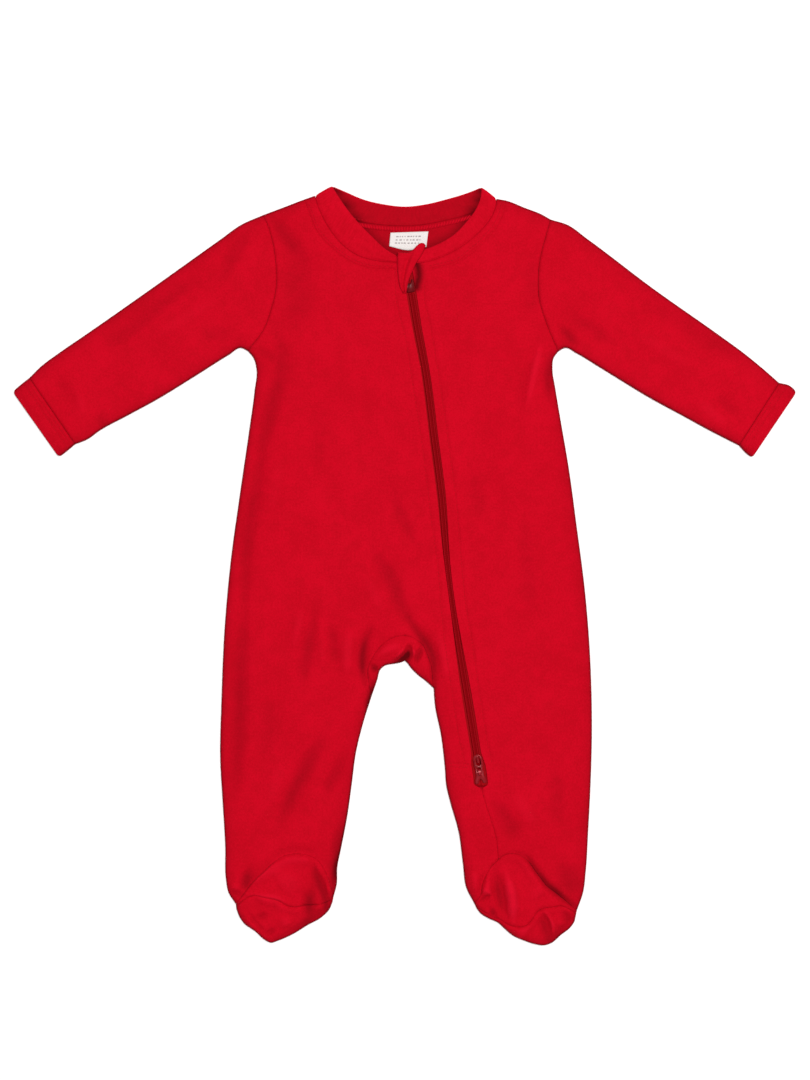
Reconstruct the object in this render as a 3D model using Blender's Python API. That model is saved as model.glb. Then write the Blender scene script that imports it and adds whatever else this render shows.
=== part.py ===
"""Baby's footed sleepsuit with a two-way zip, laid flat with its front up.

The neck points along +Y, the wearer's right side is at -X, and the underside
rests on Z = 0.  Sizes and tables are in millimetres and become metres when a
mesh is made.  Every cloth piece is a closed wall round its own cut: a sheet
of outer points, with the wall's thickness taken off inwards.
"""

import bmesh
import bpy
import numpy as np

MM = 0.001
SAME_POINT = 1e-7       # metres
FLAT_BELOW = 0.01       # radians between faces that become one
SMOOTH_BELOW = 0.7
BEVEL_ABOVE = 1.0
FINE_RUN = 400          # points that stand for a smooth edge
OUTLINE_RUN = 90

# Cloth
WALL = 1.2              # interlock knit
DOUBLE_WALL = 2.0       # neckband, folded over
CUFF_WALL = 1.5
FOOT_WALL = 1.5
SEAM_GAP = 0.3          # between neighbouring pieces
SEAM_LEVEL = 2.0        # height of the side seams
FRONT_RISE = 2.4        # from the side seam up to the front
FRONT_ROLL = 5.0        # width over which the front curves down to a seam
BACK_ROLL = 2.5         # width over which the back curves up to a seam
LOWEST_FRONT = 2.8      # the front never dips below this
BAND_RISE = 0.25        # a cuff stands this far above the sleeve
BAND_TOP = 4.7          # upper face of the neckband in front
BAND_EDGE_DROP = 0.4    # its edges are this much lower
ON_EDGE = 0.4           # a point this near the outline lies on it
ROLL_CLEAR = 1.17       # this many walls in from the outline, the front's inside starts to drop
FOOT_ROLL_CLEAR = 2.1   # the same for the upper of a foot
RELIEF_FADE = 8.0       # width over which folds fade out towards the outline
FOLD_END = 1.3          # half widths over which a fold fades at its ends

# Zip
SLOT_HALF = 4.0         # from the zip's middle to a folded edge
SLOT_AT_SLIDER = 5.6
HEM_WIDTH = 11.0        # folded edge, out to its topstitching
HEM_RISE = 0.35
HEM_FADE = 4.0          # width over which its rise ends, at the topstitching
HEM_FADE_DOWN = 12.0    # the same below the zip
HEM_WALL = 1.6
TAPE_WIDTH = 11.5
TAPE_LEVELS = (1.5, 2.55)
COIL_WIDTH = 5.0
COIL_LEVELS = (2.85, 4.25)
SLOT_ROWS = (-150.0, -159.0, -175.0, -178.0)   # it widens for the slider, then closes
COIL_ENDS = (217.3, -161.9)
TAPE_ENDS = (238.5, -176.5)

# Slider and pull tab, in the slider's own frame: +Y up the zip, +X across it
SLIDER_PLACE = -164.8          # y of the hinge
TOP_SLIDER_PLACE = 219.4
SLIDER_LEVELS = (2.85, 4.7)
SLIDER_LENGTH = 10.4
SLIDER_TOP_WIDTH = 6.6
SLIDER_WIDTH = 9.2
SLIDER_WIDTH_IN_SLOT = 6.8     # of the top one, between the folded edges
CROWN_HALF_LENGTH = 2.4
CROWN_HALF_WIDTH = 1.0
CROWN_LEG = 1.2
CROWN_TOP = 8.0
CROWN_BAR = 1.1
HINGE_LEVEL = 5.9
TAB_LENGTH = 14.6
TAB_WIDTH = 6.8
TAB_THICKNESS = 1.2
TAB_EYE = (0.6, 3.8, 1.5)      # from, to along the tab, half width
TAB_SLOT = (5.4, 12.6, 1.9)
TAB_TONGUE = (5.2, 0.8)        # length from the tip's side, half width
SLIDER_BEVEL = 0.35

# Garage over the top of the zip, and the label
GARAGE_TOP = [(-4.2, 250.2), (-0.2, 249.6), (3.6, 250), (6.6, 251.8), (10.2, 255.2),
              (13.2, 257.2), (15.4, 257.2), (17.2, 255.6)]
GARAGE_LEFT = [(-4.2, 250.2), (-4.7, 240), (-4.4, 233), (-4, 225), (-2, 219.5), (0.2, 217.3)]
GARAGE_RIGHT = [(17.2, 255.6), (13.5, 250.5), (10.5, 245.5), (7, 239.2), (4.6, 233),
                (3.2, 226), (2.6, 220.5), (1.8, 217.3)]
GARAGE_LEVELS = (6.1, 1.4, 2.2)    # edges, and the rise of the left and right lobe
GARAGE_FLOOR = 5.05
LABEL = {"top_left": (-11, 266), "top_right": (19.3, 267), "low_left": (-12, 255.2),
         "low_middle": (3, 252), "low_right": (17.6, 254.6)}
LABEL_LEVELS = (1.5, 2.3)

# Outline of the laid-out garment, x and y of points on each edge
SHOULDER = {
    "right": [(-71.5, 295.5), (-80, 292.5), (-97, 286), (-113, 280)],
    "left": [(74, 293), (82, 291.5), (96, 286), (110, 280.5), (117, 276.5)],
}
SLEEVE_TOP = {
    "right": [(-113, 280), (-130, 272.5), (-147, 260.5), (-201, 222), (-256, 183.5),
              (-275, 170.5), (-291, 158.5), (-299.5, 150)],
    "left": [(117, 276.5), (130, 272.5), (147, 260.5), (198, 222), (252.5, 183.5),
             (271, 170), (287, 157), (299.5, 146)],
}
SLEEVE_LOW = {
    "right": [(-125, 171.5), (-130.5, 174), (-140, 168.5), (-167, 151.5), (-198, 132.5),
              (-222, 119.5), (-244, 107.5), (-253, 101), (-263, 97)],
    "left": [(123, 171), (128.5, 174), (138, 169.5), (157, 158), (199, 132.5),
             (223, 119.5), (245, 107.5), (267.5, 96)],
}
CUFF_TOP = {
    "right": [(-299.5, 150), (-306.5, 144.5), (-313, 139)],
    "left": [(299.5, 146), (307.5, 144), (313.7, 139)],
}
CUFF_LOW = {
    "right": [(-263, 97), (-269.5, 91.5), (-276, 86.5)],
    "left": [(267.5, 96), (272.5, 90.5), (278, 86)],
}
ARMHOLE = {
    "right": [(-113, 280), (-109.5, 273), (-105, 258), (-102.5, 240.5), (-102.5, 221),
              (-106, 206), (-111.5, 190), (-125, 171.5)],
    "left": [(117, 276.5), (112.5, 261), (108.5, 245), (107, 227.5), (108, 212),
             (112, 198), (116.5, 186), (123, 171)],
}
SIDE = {
    "right": [(-125, 171.5), (-120.5, 166), (-118, 157), (-119.5, 140), (-124, 107),
              (-131.5, 55.5), (-138.5, 4.5), (-143.5, -50), (-146, -107), (-147, -155),
              (-145, -190), (-143, -225), (-142.5, -250), (-140.5, -261), (-134.5, -270.5)],
    "left": [(123, 171), (119.5, 166), (118.5, 156), (120.5, 143), (125, 116),
             (131, 81), (138, 30), (144.5, -21), (148.5, -72), (150, -130),
             (148.5, -184), (147, -212), (145, -245), (143, -261), (138, -275.5)],
}
LEG_INNER = {
    "right": [(-26, -104), (-32, -123), (-38.5, -149), (-42, -175), (-45.5, -200),
              (-50.5, -226), (-53.5, -241), (-54, -255), (-56.5, -264.5)],
    "left": [(23.5, -98), (24.5, -111), (29.5, -136), (32.5, -162), (33.5, -175),
             (36.5, -188), (43.5, -213), (47, -239), (49.5, -257), (56, -270)],
}
CROTCH = {
    "right": [(0.5, -76), (-3, -77.5), (-8.5, -78.5), (-15.5, -80), (-19, -83),
              (-21.5, -91), (-26, -104)],
    "left": [(0.5, -76), (2.5, -78), (5.5, -82), (10.5, -87), (17.5, -92.5), (23.5, -98)],
}
GUSSET_ARC = {
    "right": [(0.5, -56), (-5, -56.5), (-11, -58.5), (-18.5, -64), (-23.5, -70.5),
              (-27.5, -77.5), (-29.5, -84), (-28.5, -93), (-26, -104)],
    "left": [(0.5, -56), (5, -56.7), (10.5, -59.5), (15.5, -64.5), (18.5, -71),
             (21, -78.5), (22.5, -88), (23.5, -98)],
}
INSTEP = {
    "right": [(-134.5, -270.5), (-126.5, -259.5), (-119.5, -251), (-112, -244),
              (-104.5, -237), (-95.5, -231.5), (-85.5, -230), (-76, -231.5),
              (-69, -235.5), (-63, -244.5), (-59.5, -252.5), (-56.5, -264.5)],
    "left": [(56, -270), (61, -263), (62, -255.5), (64.5, -249), (68.5, -242), (75.2, -234.5)],
    "outer": [(75.2, -234.5), (80, -231.2), (86.5, -230), (94, -232), (99.5, -236.5),
              (104, -243), (108.5, -249), (113.5, -255.5), (120.5, -261), (128, -267),
              (138, -275.5)],
}
TOE_SEAM = {
    "right": [(-134.3, -272.6), (-128, -267), (-122, -264), (-109, -265.5), (-100.5, -267.5),
              (-94.5, -271), (-88, -272.5), (-80, -271.5), (-66.5, -270.5), (-57, -266.6)],
    "left": [(57.2, -272), (62, -275.5), (68.5, -279), (76, -282.5), (83, -286.5),
             (91.5, -288.5), (97.5, -287), (102, -282.5), (105.5, -277.5), (110, -274),
             (117, -272.8), (127, -272.2), (132, -274.5), (137.5, -277.8)],
}
TOE_END = {
    "right": [(-134, -274.8), (-131.5, -281), (-128.5, -285.5), (-119, -292.5), (-111, -299.5),
              (-106.5, -301.5), (-101.5, -300), (-88, -294), (-77.5, -287.5), (-66, -281),
              (-60, -275), (-57.3, -268.8)],
    "left": [(58, -274.2), (61, -278), (67, -281.8), (75, -285.5), (80.5, -290.5),
             (86.5, -295.5), (96.5, -300), (104, -302.5), (112.5, -303.4), (117, -302),
             (125.5, -295), (132.5, -289.5), (136, -284.5), (137, -280.3)],
}
NECK_EDGE = {
    "right": [(-58, 303.5), (-52, 294), (-43.5, 282), (-27.5, 264.5), (-13, 251.5), (-6.3, 247.6)],
    "left": [(62, 302.5), (60.5, 292.5), (56.5, 283.5), (50, 275), (40.5, 265), (20.5, 254),
             (3.5, 249.2)],
}
NECK_SEAM = {
    "right": [(-71.5, 295.5), (-69, 287), (-63.5, 275), (-56, 263.5), (-46.5, 253.5),
              (-35.5, 246.8), (-24, 243.6), (-9.5, 242), (-4.2, 241.6)],
    "left": [(74, 293), (73.2, 287), (69.5, 278), (63.5, 270), (57, 263.5), (40.5, 251.5),
             (20.5, 243), (5.2, 240.6)],
}
BACK_NECK_EDGE = [(-58, 303.5), (-47.5, 299), (-32, 292.5), (-15.5, 288.7), (0.5, 287),
                  (16.5, 288.7), (32.5, 292.5), (53.5, 299), (62, 302.5)]
BACK_NECK_SEAM = [(-71.5, 295.5), (-70, 292.4), (-66.5, 289), (-58, 283), (-45, 277.5),
                  (-35.5, 275), (-20.5, 272.6), (-3, 271.6), (15.5, 272.6), (28.5, 275),
                  (45.5, 279), (60, 284), (68.5, 287.6), (72, 290.4), (74, 293)]
ZIP_LINE = [(-2, 252.5), (1, 242), (5.5, 218), (10.5, 188.5), (16.5, 157), (24, 99.5),
            (29.5, 57), (34, 5), (38, -27.5), (43, -61), (48.5, -95), (54, -128.5),
            (57.5, -150), (60.5, -168), (61.5, -177)]
SEAM_BELOW_ZIP = [(61.5, -177), (65, -190), (69.5, -203.5), (73, -215.5), (75.2, -234.5)]

# Largest folds of the front: x, y of both ends, height (a trough is below zero), half width
FOLDS = [
    (-116, 88, -129, -28, -0.9, 5),        # along the right side
    (-131, -55, -133, -185, -0.9, 5),
    (-25, 12, 7, -49, -1.1, 6),            # belly to gusset
    (-10, 60, 10, 12, -0.6, 6),
    (-34, -57, -34, -90, -1.4, 4),         # beside the gusset
    (-45, -48, -47, -95, 0.7, 5),
    (-19, -70, -5, -64, 0.6, 5),           # lip and pocket of the gusset
    (1, -75, 5, -66, -1.2, 3),
    (-75, -42, -81, -88, 0.7, 7),          # right thigh
    (-57, -52, -54, -72, -0.6, 5),
    (-67, -145, -100, -204, -1.3, 6),      # right shin
    (-97, -150, -103, -195, 0.5, 8),
    (52, 76, 61, 36, -0.6, 6),             # left of the zip
    (92, 58, 101, -50, -0.6, 6),
    (68, -184, 94, -222, -1.0, 7),         # left shin
    (112, -240, 137, -262, -1.0, 7),
    (-125, 263, -191, 216, -0.8, 6),       # along the right sleeve
    (-191, 216, -266, 166, -0.8, 6),
    (-99, 268, -83, 247, -0.7, 6),         # from the right armhole
    (-119, 172, -99, 160, -1.0, 5),        # underarms
    (112, 165, 92, 136, 0.8, 6),
    (169, 221, 288, 150, -0.6, 8),         # along the left sleeve
    (229, 136, 266, 106, 0.7, 7),
    (-263, 128, -244, 108, 0.7, 7),
    (-101, -245, -84, -256, 2.3, 13),      # right instep
    (-67, -243, -61, -266, -1.6, 5),
    (-76, -268, -73, -278, -1.3, 5),
    (-116, -277, -110, -283, -1.0, 6),
    (89, -243, 94, -281, 2.3, 10),         # left instep
    (75, -251, 80, -269, -1.5, 5),
    (101, -239, 136, -270, -1.3, 5),
    (109, -281, 112, -292, -1.4, 4.5),
    (126, -281, 127, -285, 1.0, 7),
]

COLOURS = {
    "cloth": (0.597, 0.003, 0.016, 1),
    "tape": (0.352, 0.004, 0.008, 1),
    "enamel": (0.503, 0.003, 0.013, 1),
    "label": (0.83, 0.74, 0.72, 1),
}

# Where the rows and columns of the cloth grids lie, as shares of an edge
ARM_SHARES = np.array([0, .018, .055, .14, .27, .41, .55, .69, .82, .92, .978, 1])
LEG_SHARES = np.array([0, .017, .05, .14, .27, .41, .55, .69, .82, .93, .98, 1])
STRIP_SHARES = np.array([0, .07, .22, .58, 1])
FRONT_SHARES = np.array([0, .05, .13, .26, .4, .54, .68, .81, .91, .957, .984, 1])
SHOULDER_SHARES = np.array([0, .045, .25, .6, 1])
BACK_SHOULDER_SHARES = {"right": [0, .05, .4, 1], "left": [0, .95, 1]}
BACK_NECK_SHARES = np.array([0, .022, .1, .2, .32, .44, .56, .68, .8, .9, .978, 1])
GUSSET_SEAM_SHARES = np.array([0, .1, .22, .36, .5, .64, .78, .9, 1])
GUSSET_ROWS = np.array([0, .25, .55, .85, 1])
CROTCH_END = 0.97       # share of the crotch edge that the gusset takes
SLEEVE_START = 0.0015   # share of a sleeve's long edge that its armhole end keeps clear
YOKE_CROSSING = 12.0    # from the gusset's top to where the yoke turns into the zip strip
NECK_POINTS = {"right": 12, "left": 8}
FOLD_ANGLES = np.radians([0, 36, 72, 108, 144, 180])
SLEEVE_SHARES = np.array([0, .06, .15, .25, .35, .45, .55, .65, .75, .85, .94, 1])
CUFF_SHARES = np.array([0, .35, .7, 1])
UPPER_SHARES = np.array([0, .12, .3, .5, .7, .88, 1])
FLAP_SHARES = np.array([0, .35, .68, .9, 1])
UNDER_SHARES = np.array([0, .1, .5, 1])
BACK_SHARES = np.array([0, .018, .07, .25, .5, .75, .93, .982, 1])
GUSSET_SHARES = np.array([0, .1, .22, .36, .5, .64, .78, .9, .965])
BAND_SHARES = np.array([0, .15, .5, .85, 1])


def smooth(table, shares):
    """Points at these shares of the length of a smooth curve through the table's points."""
    points = np.array(table, float)
    length = np.concatenate([[0], np.cumsum(np.linalg.norm(np.diff(points, axis=0), axis=1))])
    slope = np.gradient(points, length, axis=0)
    at = np.clip(np.asarray(shares, float), 0, 1) * length[-1]
    k = np.clip(np.searchsorted(length, at, side="right") - 1, 0, len(points) - 2)
    step = (length[k + 1] - length[k])[:, None]
    t = (at - length[k])[:, None] / step
    return ((2 * t**3 - 3 * t**2 + 1) * points[k] + (t**3 - 2 * t**2 + t) * step * slope[k]
            + (3 * t**2 - 2 * t**3) * points[k + 1] + (t**3 - t**2) * step * slope[k + 1])


def evenly(table, count):
    return smooth(table, np.linspace(0, 1, count))


def at_heights(table, heights):
    """Points of an edge that runs down the garment, at these y values."""
    fine = evenly(table, FINE_RUN)
    fine = fine[np.argsort(fine[:, 1])]
    return np.column_stack([np.interp(heights, fine[:, 1], fine[:, 0]), heights])


def shifted(points, by):
    """The curve moved sideways, to the right of its own direction when by is above zero."""
    along = np.gradient(points, axis=0)
    along /= np.linalg.norm(along, axis=1)[:, None]
    return points + by * np.column_stack([along[:, 1], -along[:, 0]])


def shares_of(points):
    length = np.concatenate([[0], np.cumsum(np.linalg.norm(np.diff(points, axis=0), axis=1))])
    return length / length[-1]


def patch(top, bottom, left, right):
    """A grid of points between four edges: rows run from top to bottom, columns left to right."""
    top, bottom, left, right = (np.array(edge) for edge in (top, bottom, left, right))
    left[0], left[-1], right[0], right[-1] = top[0], bottom[0], top[-1], bottom[-1]
    across = ((shares_of(top) + shares_of(bottom)) / 2)[None, :, None]
    down = ((shares_of(left) + shares_of(right)) / 2)[:, None, None]
    left_bend = left[:, None] - (1 - down) * top[0] - down * bottom[0]
    right_bend = right[:, None] - (1 - down) * top[-1] - down * bottom[-1]
    return ((1 - down) * top[None] + down * bottom[None]
            + (1 - across) ** 2 * left_bend + across**2 * right_bend)


def edge_segments(names):
    """The stretches of the outline where front and back meet, cut into short segments."""
    runs = [evenly(name[side], OUTLINE_RUN) for name in names for side in ("right", "left")]
    corners = {"right": (SIDE["right"][-1], LEG_INNER["right"][-1]),
               "left": (LEG_INNER["left"][-1], SIDE["left"][-1])}
    for side, (start, end) in corners.items():
        runs.append(np.array([start, TOE_END[side][0]], float))
        runs.append(np.array([TOE_END[side][-1], end], float))
    return np.concatenate([run[:-1] for run in runs]), np.concatenate([run[1:] for run in runs])


BACK_EDGES = edge_segments((SHOULDER, SLEEVE_TOP, SLEEVE_LOW, CUFF_TOP, CUFF_LOW, SIDE,
                            LEG_INNER, TOE_END))
FRONT_EDGES = edge_segments((SHOULDER, SLEEVE_TOP, SLEEVE_LOW, CUFF_TOP, CUFF_LOW, SIDE,
                             LEG_INNER, TOE_END, CROTCH))


def nearest_edge(points, edges):
    """For each point, the way to the nearest stretch of the outline, and its direction."""
    least = np.full(len(points), 1e9)
    way, along = np.zeros_like(points), np.zeros_like(points)
    for start, end in zip(*edges):
        run = end - start
        t = np.clip((points - start) @ run / (run @ run), 0, 1)
        to = start + t[:, None] * run - points
        nearer = (to**2).sum(axis=1) < least
        least[nearer] = (to[nearer] ** 2).sum(axis=1)
        way[nearer] = to[nearer]
        along[nearer] = run / np.linalg.norm(run)
    return way, along


def from_outline(points, edges=FRONT_EDGES):
    return np.linalg.norm(nearest_edge(points, edges)[0], axis=1)


def quarter_round(share):
    return np.sqrt(1 - (1 - np.clip(share, 0, 1)) ** 2)


def fold_relief(points):
    """Soft troughs and ridges of the front, which fade at their ends."""
    height = np.zeros(len(points))
    for x0, y0, x1, y1, rise, half in FOLDS:
        start, run = np.array([x0, y0], float), np.array([x1 - x0, y1 - y0], float)
        t = (points - start) @ run / (run @ run)
        beyond = np.clip(np.abs(t - 0.5) - 0.5, 0, None) * np.linalg.norm(run)
        side = (points - start) @ np.array([-run[1], run[0]]) / np.linalg.norm(run)
        height += rise * np.exp(-((side / half) ** 2) - (beyond / (FOLD_END * half)) ** 2)
    return height


def zip_middle(y):
    line = evenly(ZIP_LINE + SEAM_BELOW_ZIP[1:], FINE_RUN)[::-1]
    return np.interp(y, line[:, 1], line[:, 0])


def slot_half(y):
    """Half the width of the slot between the folded edges, closing below the slider."""
    return np.interp(y, SLOT_ROWS[::-1],
                     [SEAM_GAP / 2, SLOT_AT_SLIDER, SLOT_AT_SLIDER, SLOT_HALF])


def in_hem(points):
    """One on the folded edges beside the zip, fading to nothing past their topstitching."""
    x, y = points.T
    away = np.abs(x - zip_middle(y)) - SLOT_HALF
    below = np.clip((y - SLOT_ROWS[-1]) / HEM_FADE_DOWN, 0, 1)
    return np.clip((HEM_WIDTH + HEM_FADE / 2 - away) / HEM_FADE, 0, 1) * below


def front_height(points):
    away = from_outline(points)
    rolled = SEAM_LEVEL + FRONT_RISE * quarter_round(away / FRONT_ROLL)
    relief = (fold_relief(points) + HEM_RISE * in_hem(points)) * quarter_round(away / RELIEF_FADE)
    level = np.maximum(rolled + relief, np.minimum(rolled, LOWEST_FRONT))
    return np.where(away < ON_EDGE, SEAM_LEVEL + SEAM_GAP / 2, level)


def back_height(points):
    away = from_outline(points, BACK_EDGES)
    level = SEAM_LEVEL * (1 - quarter_round(away / BACK_ROLL))
    return np.where(away < ON_EDGE, SEAM_LEVEL - SEAM_GAP / 2, level)


def grid_faces(rows, columns, start=0):
    index = start + np.arange(rows * columns).reshape(rows, columns)
    return np.column_stack([index[:-1, :-1].ravel(), index[1:, :-1].ravel(),
                            index[1:, 1:].ravel(), index[:-1, 1:].ravel()])


def welded(grids):
    """The points and faces of several grids, with shared edges made one."""
    points = np.concatenate([grid.reshape(-1, grid.shape[-1]) for grid in grids])
    faces, start = [], 0
    for grid in grids:
        faces.append(grid_faces(grid.shape[0], grid.shape[1], start))
        start += grid.shape[0] * grid.shape[1]
    _, first, index = np.unique(np.round(points, 3), axis=0, return_index=True,
                                return_inverse=True)
    return points[first], index.reshape(-1)[np.concatenate(faces)]


def normals_of(points, faces):
    normal = np.zeros_like(points)
    diagonal = np.cross(points[faces[:, 2]] - points[faces[:, 0]],
                        points[faces[:, 3]] - points[faces[:, 1]])
    for corner in range(4):
        np.add.at(normal, faces[:, corner], diagonal)
    return normal / np.maximum(np.linalg.norm(normal, axis=1), 1e-9)[:, None]


def rim_of(faces):
    """Edges that belong to one face only, in that face's direction."""
    ends = np.concatenate([faces[:, [k, (k + 1) % 4]] for k in range(4)])
    ends = ends[ends[:, 0] != ends[:, 1]]
    both = {tuple(pair) for pair in ends}
    return np.array([pair for pair in ends if (pair[1], pair[0]) not in both])


def material(name, colour, roughness=0.85, metallic=0.0):
    made = bpy.data.materials.new(name)
    made.use_nodes = True
    shader = made.node_tree.nodes["Principled BSDF"]
    shader.inputs["Base Color"].default_value = colour
    shader.inputs["Roughness"].default_value = roughness
    shader.inputs["Metallic"].default_value = metallic
    made.diffuse_color = colour
    return made


def add_object(name, points, faces, colour, roughness=0.85, metallic=0.0):
    """A closed mesh as an object, its faces turned outwards; points are in millimetres."""
    mesh = bpy.data.meshes.new(name)
    mesh.from_pydata((np.asarray(points) * MM).tolist(), [], [list(face) for face in faces])
    worked = bmesh.new()
    worked.from_mesh(mesh)
    bmesh.ops.remove_doubles(worked, verts=worked.verts, dist=SAME_POINT)
    bmesh.ops.recalc_face_normals(worked, faces=worked.faces)
    worked.to_mesh(mesh)
    worked.free()
    mesh.shade_smooth()
    mesh.set_sharp_from_angle(angle=SMOOTH_BELOW)
    mesh.materials.append(material(name, COLOURS[colour], roughness, metallic))
    made = bpy.data.objects.new(name, mesh)
    bpy.context.scene.collection.objects.link(made)
    return made


def wall(name, outer, inner, faces, colour="cloth"):
    """A closed wall between an outer sheet and an inner one that share their faces."""
    count = len(outer)
    rim = rim_of(faces)
    sides = [(a, a + count, b + count, b) for a, b in rim]
    return add_object(name, np.concatenate([outer, inner]),
                      faces.tolist() + (faces[:, ::-1] + count).tolist() + sides, colour)


def taken_in(outer, faces, thickness, edges=FRONT_EDGES):
    """The inner sheet: seam rims go straight through the cloth, outline rims straight inwards."""
    normal = normals_of(outer, faces)
    rim = np.unique(rim_of(faces))
    way, along = nearest_edge(outer[rim, :2], edges)
    on_edge = np.linalg.norm(way, axis=1) < ON_EDGE
    upright = rim[~on_edge]
    normal[upright] = np.column_stack([np.zeros((len(upright), 2)),
                                       np.sign(normal[upright, 2])])
    out = np.column_stack([along[:, 1], -along[:, 0], np.zeros(len(rim))])[on_edge]
    level = rim[on_edge]
    normal[level] = out * np.sign((out * normal[level]).sum(axis=1))[:, None]
    normal /= np.maximum(np.linalg.norm(normal, axis=1), 1e-9)[:, None]
    return outer - normal * np.asarray(thickness).reshape(-1, 1)


def front_piece(name, grids, thickness=WALL, clear=ROLL_CLEAR):
    flat, faces = welded(grids)
    outer = np.column_stack([flat, front_height(flat)])
    depth = thickness + (HEM_WALL - WALL) * in_hem(flat)
    inner = taken_in(outer, faces, depth)
    by_edge = from_outline(flat) < clear * thickness
    lowest = np.where(by_edge, SEAM_LEVEL + SEAM_GAP / 2, thickness + SEAM_GAP)
    inner[:, 2] = np.maximum(inner[:, 2], lowest)
    return wall(name, outer, inner, faces)


def back_piece(name, grids):
    flat, faces = welded(grids)
    outer = np.column_stack([flat, back_height(flat)])
    faces = faces[:, ::-1]
    return wall(name, outer, taken_in(outer, faces, WALL, BACK_EDGES), faces)


def tube_piece(name, grid, thickness, rise=0.0):
    """A flattened tube, open at its first and last row, folded at its end columns."""
    rows, columns = grid.shape[:2]
    flat = grid.reshape(-1, 2)
    rolled = quarter_round(from_outline(flat) / FRONT_ROLL)
    over = (front_height(flat) + rise * rolled).reshape(rows, columns)
    under = back_height(flat).reshape(rows, columns)
    over[:, [0, -1]] = SEAM_LEVEL
    upper = np.dstack([grid, over])
    lower = np.dstack([grid, under])[:, -2:0:-1]
    ring = np.concatenate([upper, lower, upper[:, :1]], axis=1)
    outer, faces = welded([ring])
    if grid[0, 0, 0] < grid[-1, 0, 0]:
        faces = faces[:, ::-1]
    return wall(name, outer, taken_in(outer, faces, thickness), faces)


def join(*runs):
    """One run of points from several that meet end to end."""
    return np.concatenate([runs[0]] + [run[1:] for run in runs[1:]])


def line(start, end, shares):
    start, end = np.array(start, float), np.array(end, float)
    return start + np.asarray(shares)[:, None] * (end - start)


def zip_edge(heights, side):
    """The folded edge beside the zip at these heights, on the right with side -1."""
    heights = np.asarray(heights, float)
    return np.column_stack([zip_middle(heights) + side * slot_half(heights), heights])


def front_neck(side):
    """Points that the neckband and a front share along the neck seam, shoulder to zip."""
    return evenly(NECK_SEAM[side], NECK_POINTS[side])


def back_neck():
    return smooth(BACK_NECK_SEAM, BACK_NECK_SHARES)


def gusset_seam(side):
    return smooth(GUSSET_ARC[side], GUSSET_SEAM_SHARES)


def make_front_right():
    half = SEAM_GAP / 2
    shoulder = smooth(SHOULDER["right"][::-1], SHOULDER_SHARES)
    top = join(shoulder, shifted(front_neck("right"), half))
    arm = shifted(smooth(ARMHOLE["right"], ARM_SHARES), -half)
    arm[0], arm[-1] = SHOULDER["right"][-1], SIDE["right"][0]
    under_y = arm[-1, 1]
    apex = np.array(GUSSET_ARC["right"][0]) + (0, half)
    crossing = (apex[0] - YOKE_CROSSING, under_y)
    chest = join(line(arm[-1], crossing, LEG_SHARES),
                 line(crossing, zip_edge([under_y], -1)[0], STRIP_SHARES))
    yoke = patch(top, chest, arm, zip_edge(line([top[-1, 1]], [under_y], ARM_SHARES)[:, 0], -1))

    waist_y = np.linspace(under_y, apex[1], 13)
    side = at_heights(SIDE["right"], waist_y)
    hips = join(line(side[-1], apex, LEG_SHARES),
                line(apex, zip_edge([apex[1]], -1)[0], STRIP_SHARES))
    body = patch(chest, hips, side, zip_edge(waist_y, -1))

    inner = join(shifted(gusset_seam("right"), half), evenly(LEG_INNER["right"], 12))
    inner[0] = apex
    instep = shifted(smooth(INSTEP["right"], LEG_SHARES), -half)
    instep[0], instep[-1] = SIDE["right"][-1], LEG_INNER["right"][-1]
    outer_y = np.interp(inner[:, 1], [inner[-1, 1], apex[1]], [instep[0, 1], apex[1]])
    leg = patch(hips[:len(LEG_SHARES)], instep, at_heights(SIDE["right"], outer_y), inner)

    instep = shifted(smooth(INSTEP["left"], STRIP_SHARES), -half)
    instep[0] = LEG_INNER["left"][-1]
    instep[-1, 0] -= half
    arc = shifted(gusset_seam("left"), -half)
    arc[0] = apex
    tip_y, low_y = LEG_INNER["left"][0][1], LEG_INNER["left"][-1][1]
    leg_y = np.concatenate([np.linspace(tip_y, SLOT_ROWS[0], 5)[1:-1], SLOT_ROWS,
                            np.linspace(SLOT_ROWS[-1], low_y, 6)[1:]])
    inner = join(arc, at_heights(LEG_INNER["left"], np.concatenate([[tip_y], leg_y])))
    zip_y = np.concatenate([arc[:, 1], leg_y])
    zip_y[-5:] = np.linspace(SLOT_ROWS[-1], instep[-1, 1], 6)[1:]
    strip = patch(hips[len(LEG_SHARES) - 1:], instep, inner, zip_edge(zip_y, -1))
    front_piece("front_right", [yoke, body, leg, strip])


def make_front_left():
    half = SEAM_GAP / 2
    shoulder = smooth(SHOULDER["left"], 1 - SHOULDER_SHARES[::-1])
    top = join(shifted(front_neck("left")[::-1], half), shoulder)
    arm = shifted(smooth(ARMHOLE["left"], ARM_SHARES), half)
    arm[0], arm[-1] = SHOULDER["left"][-1], SIDE["left"][0]
    under_y = arm[-1, 1]
    chest = line(zip_edge([under_y], 1)[0], arm[-1], FRONT_SHARES)
    yoke = patch(top, chest, zip_edge(line([top[0, 1]], [under_y], ARM_SHARES)[:, 0], 1), arm)

    instep = shifted(smooth(INSTEP["outer"], FRONT_SHARES), -half)
    instep[0, 0] += half
    instep[-1] = SIDE["left"][-1]
    zip_y = np.concatenate([np.linspace(under_y, SLOT_ROWS[0], 20)[:-1], SLOT_ROWS,
                            np.linspace(SLOT_ROWS[-1], instep[0, 1], 6)[1:]])
    side_y = np.interp(zip_y, [zip_y[-1], under_y], [instep[-1, 1], under_y])
    side = at_heights(SIDE["left"], side_y)
    front_piece("front_left", [yoke, patch(chest, instep, zip_edge(zip_y, 1), side)])


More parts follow.
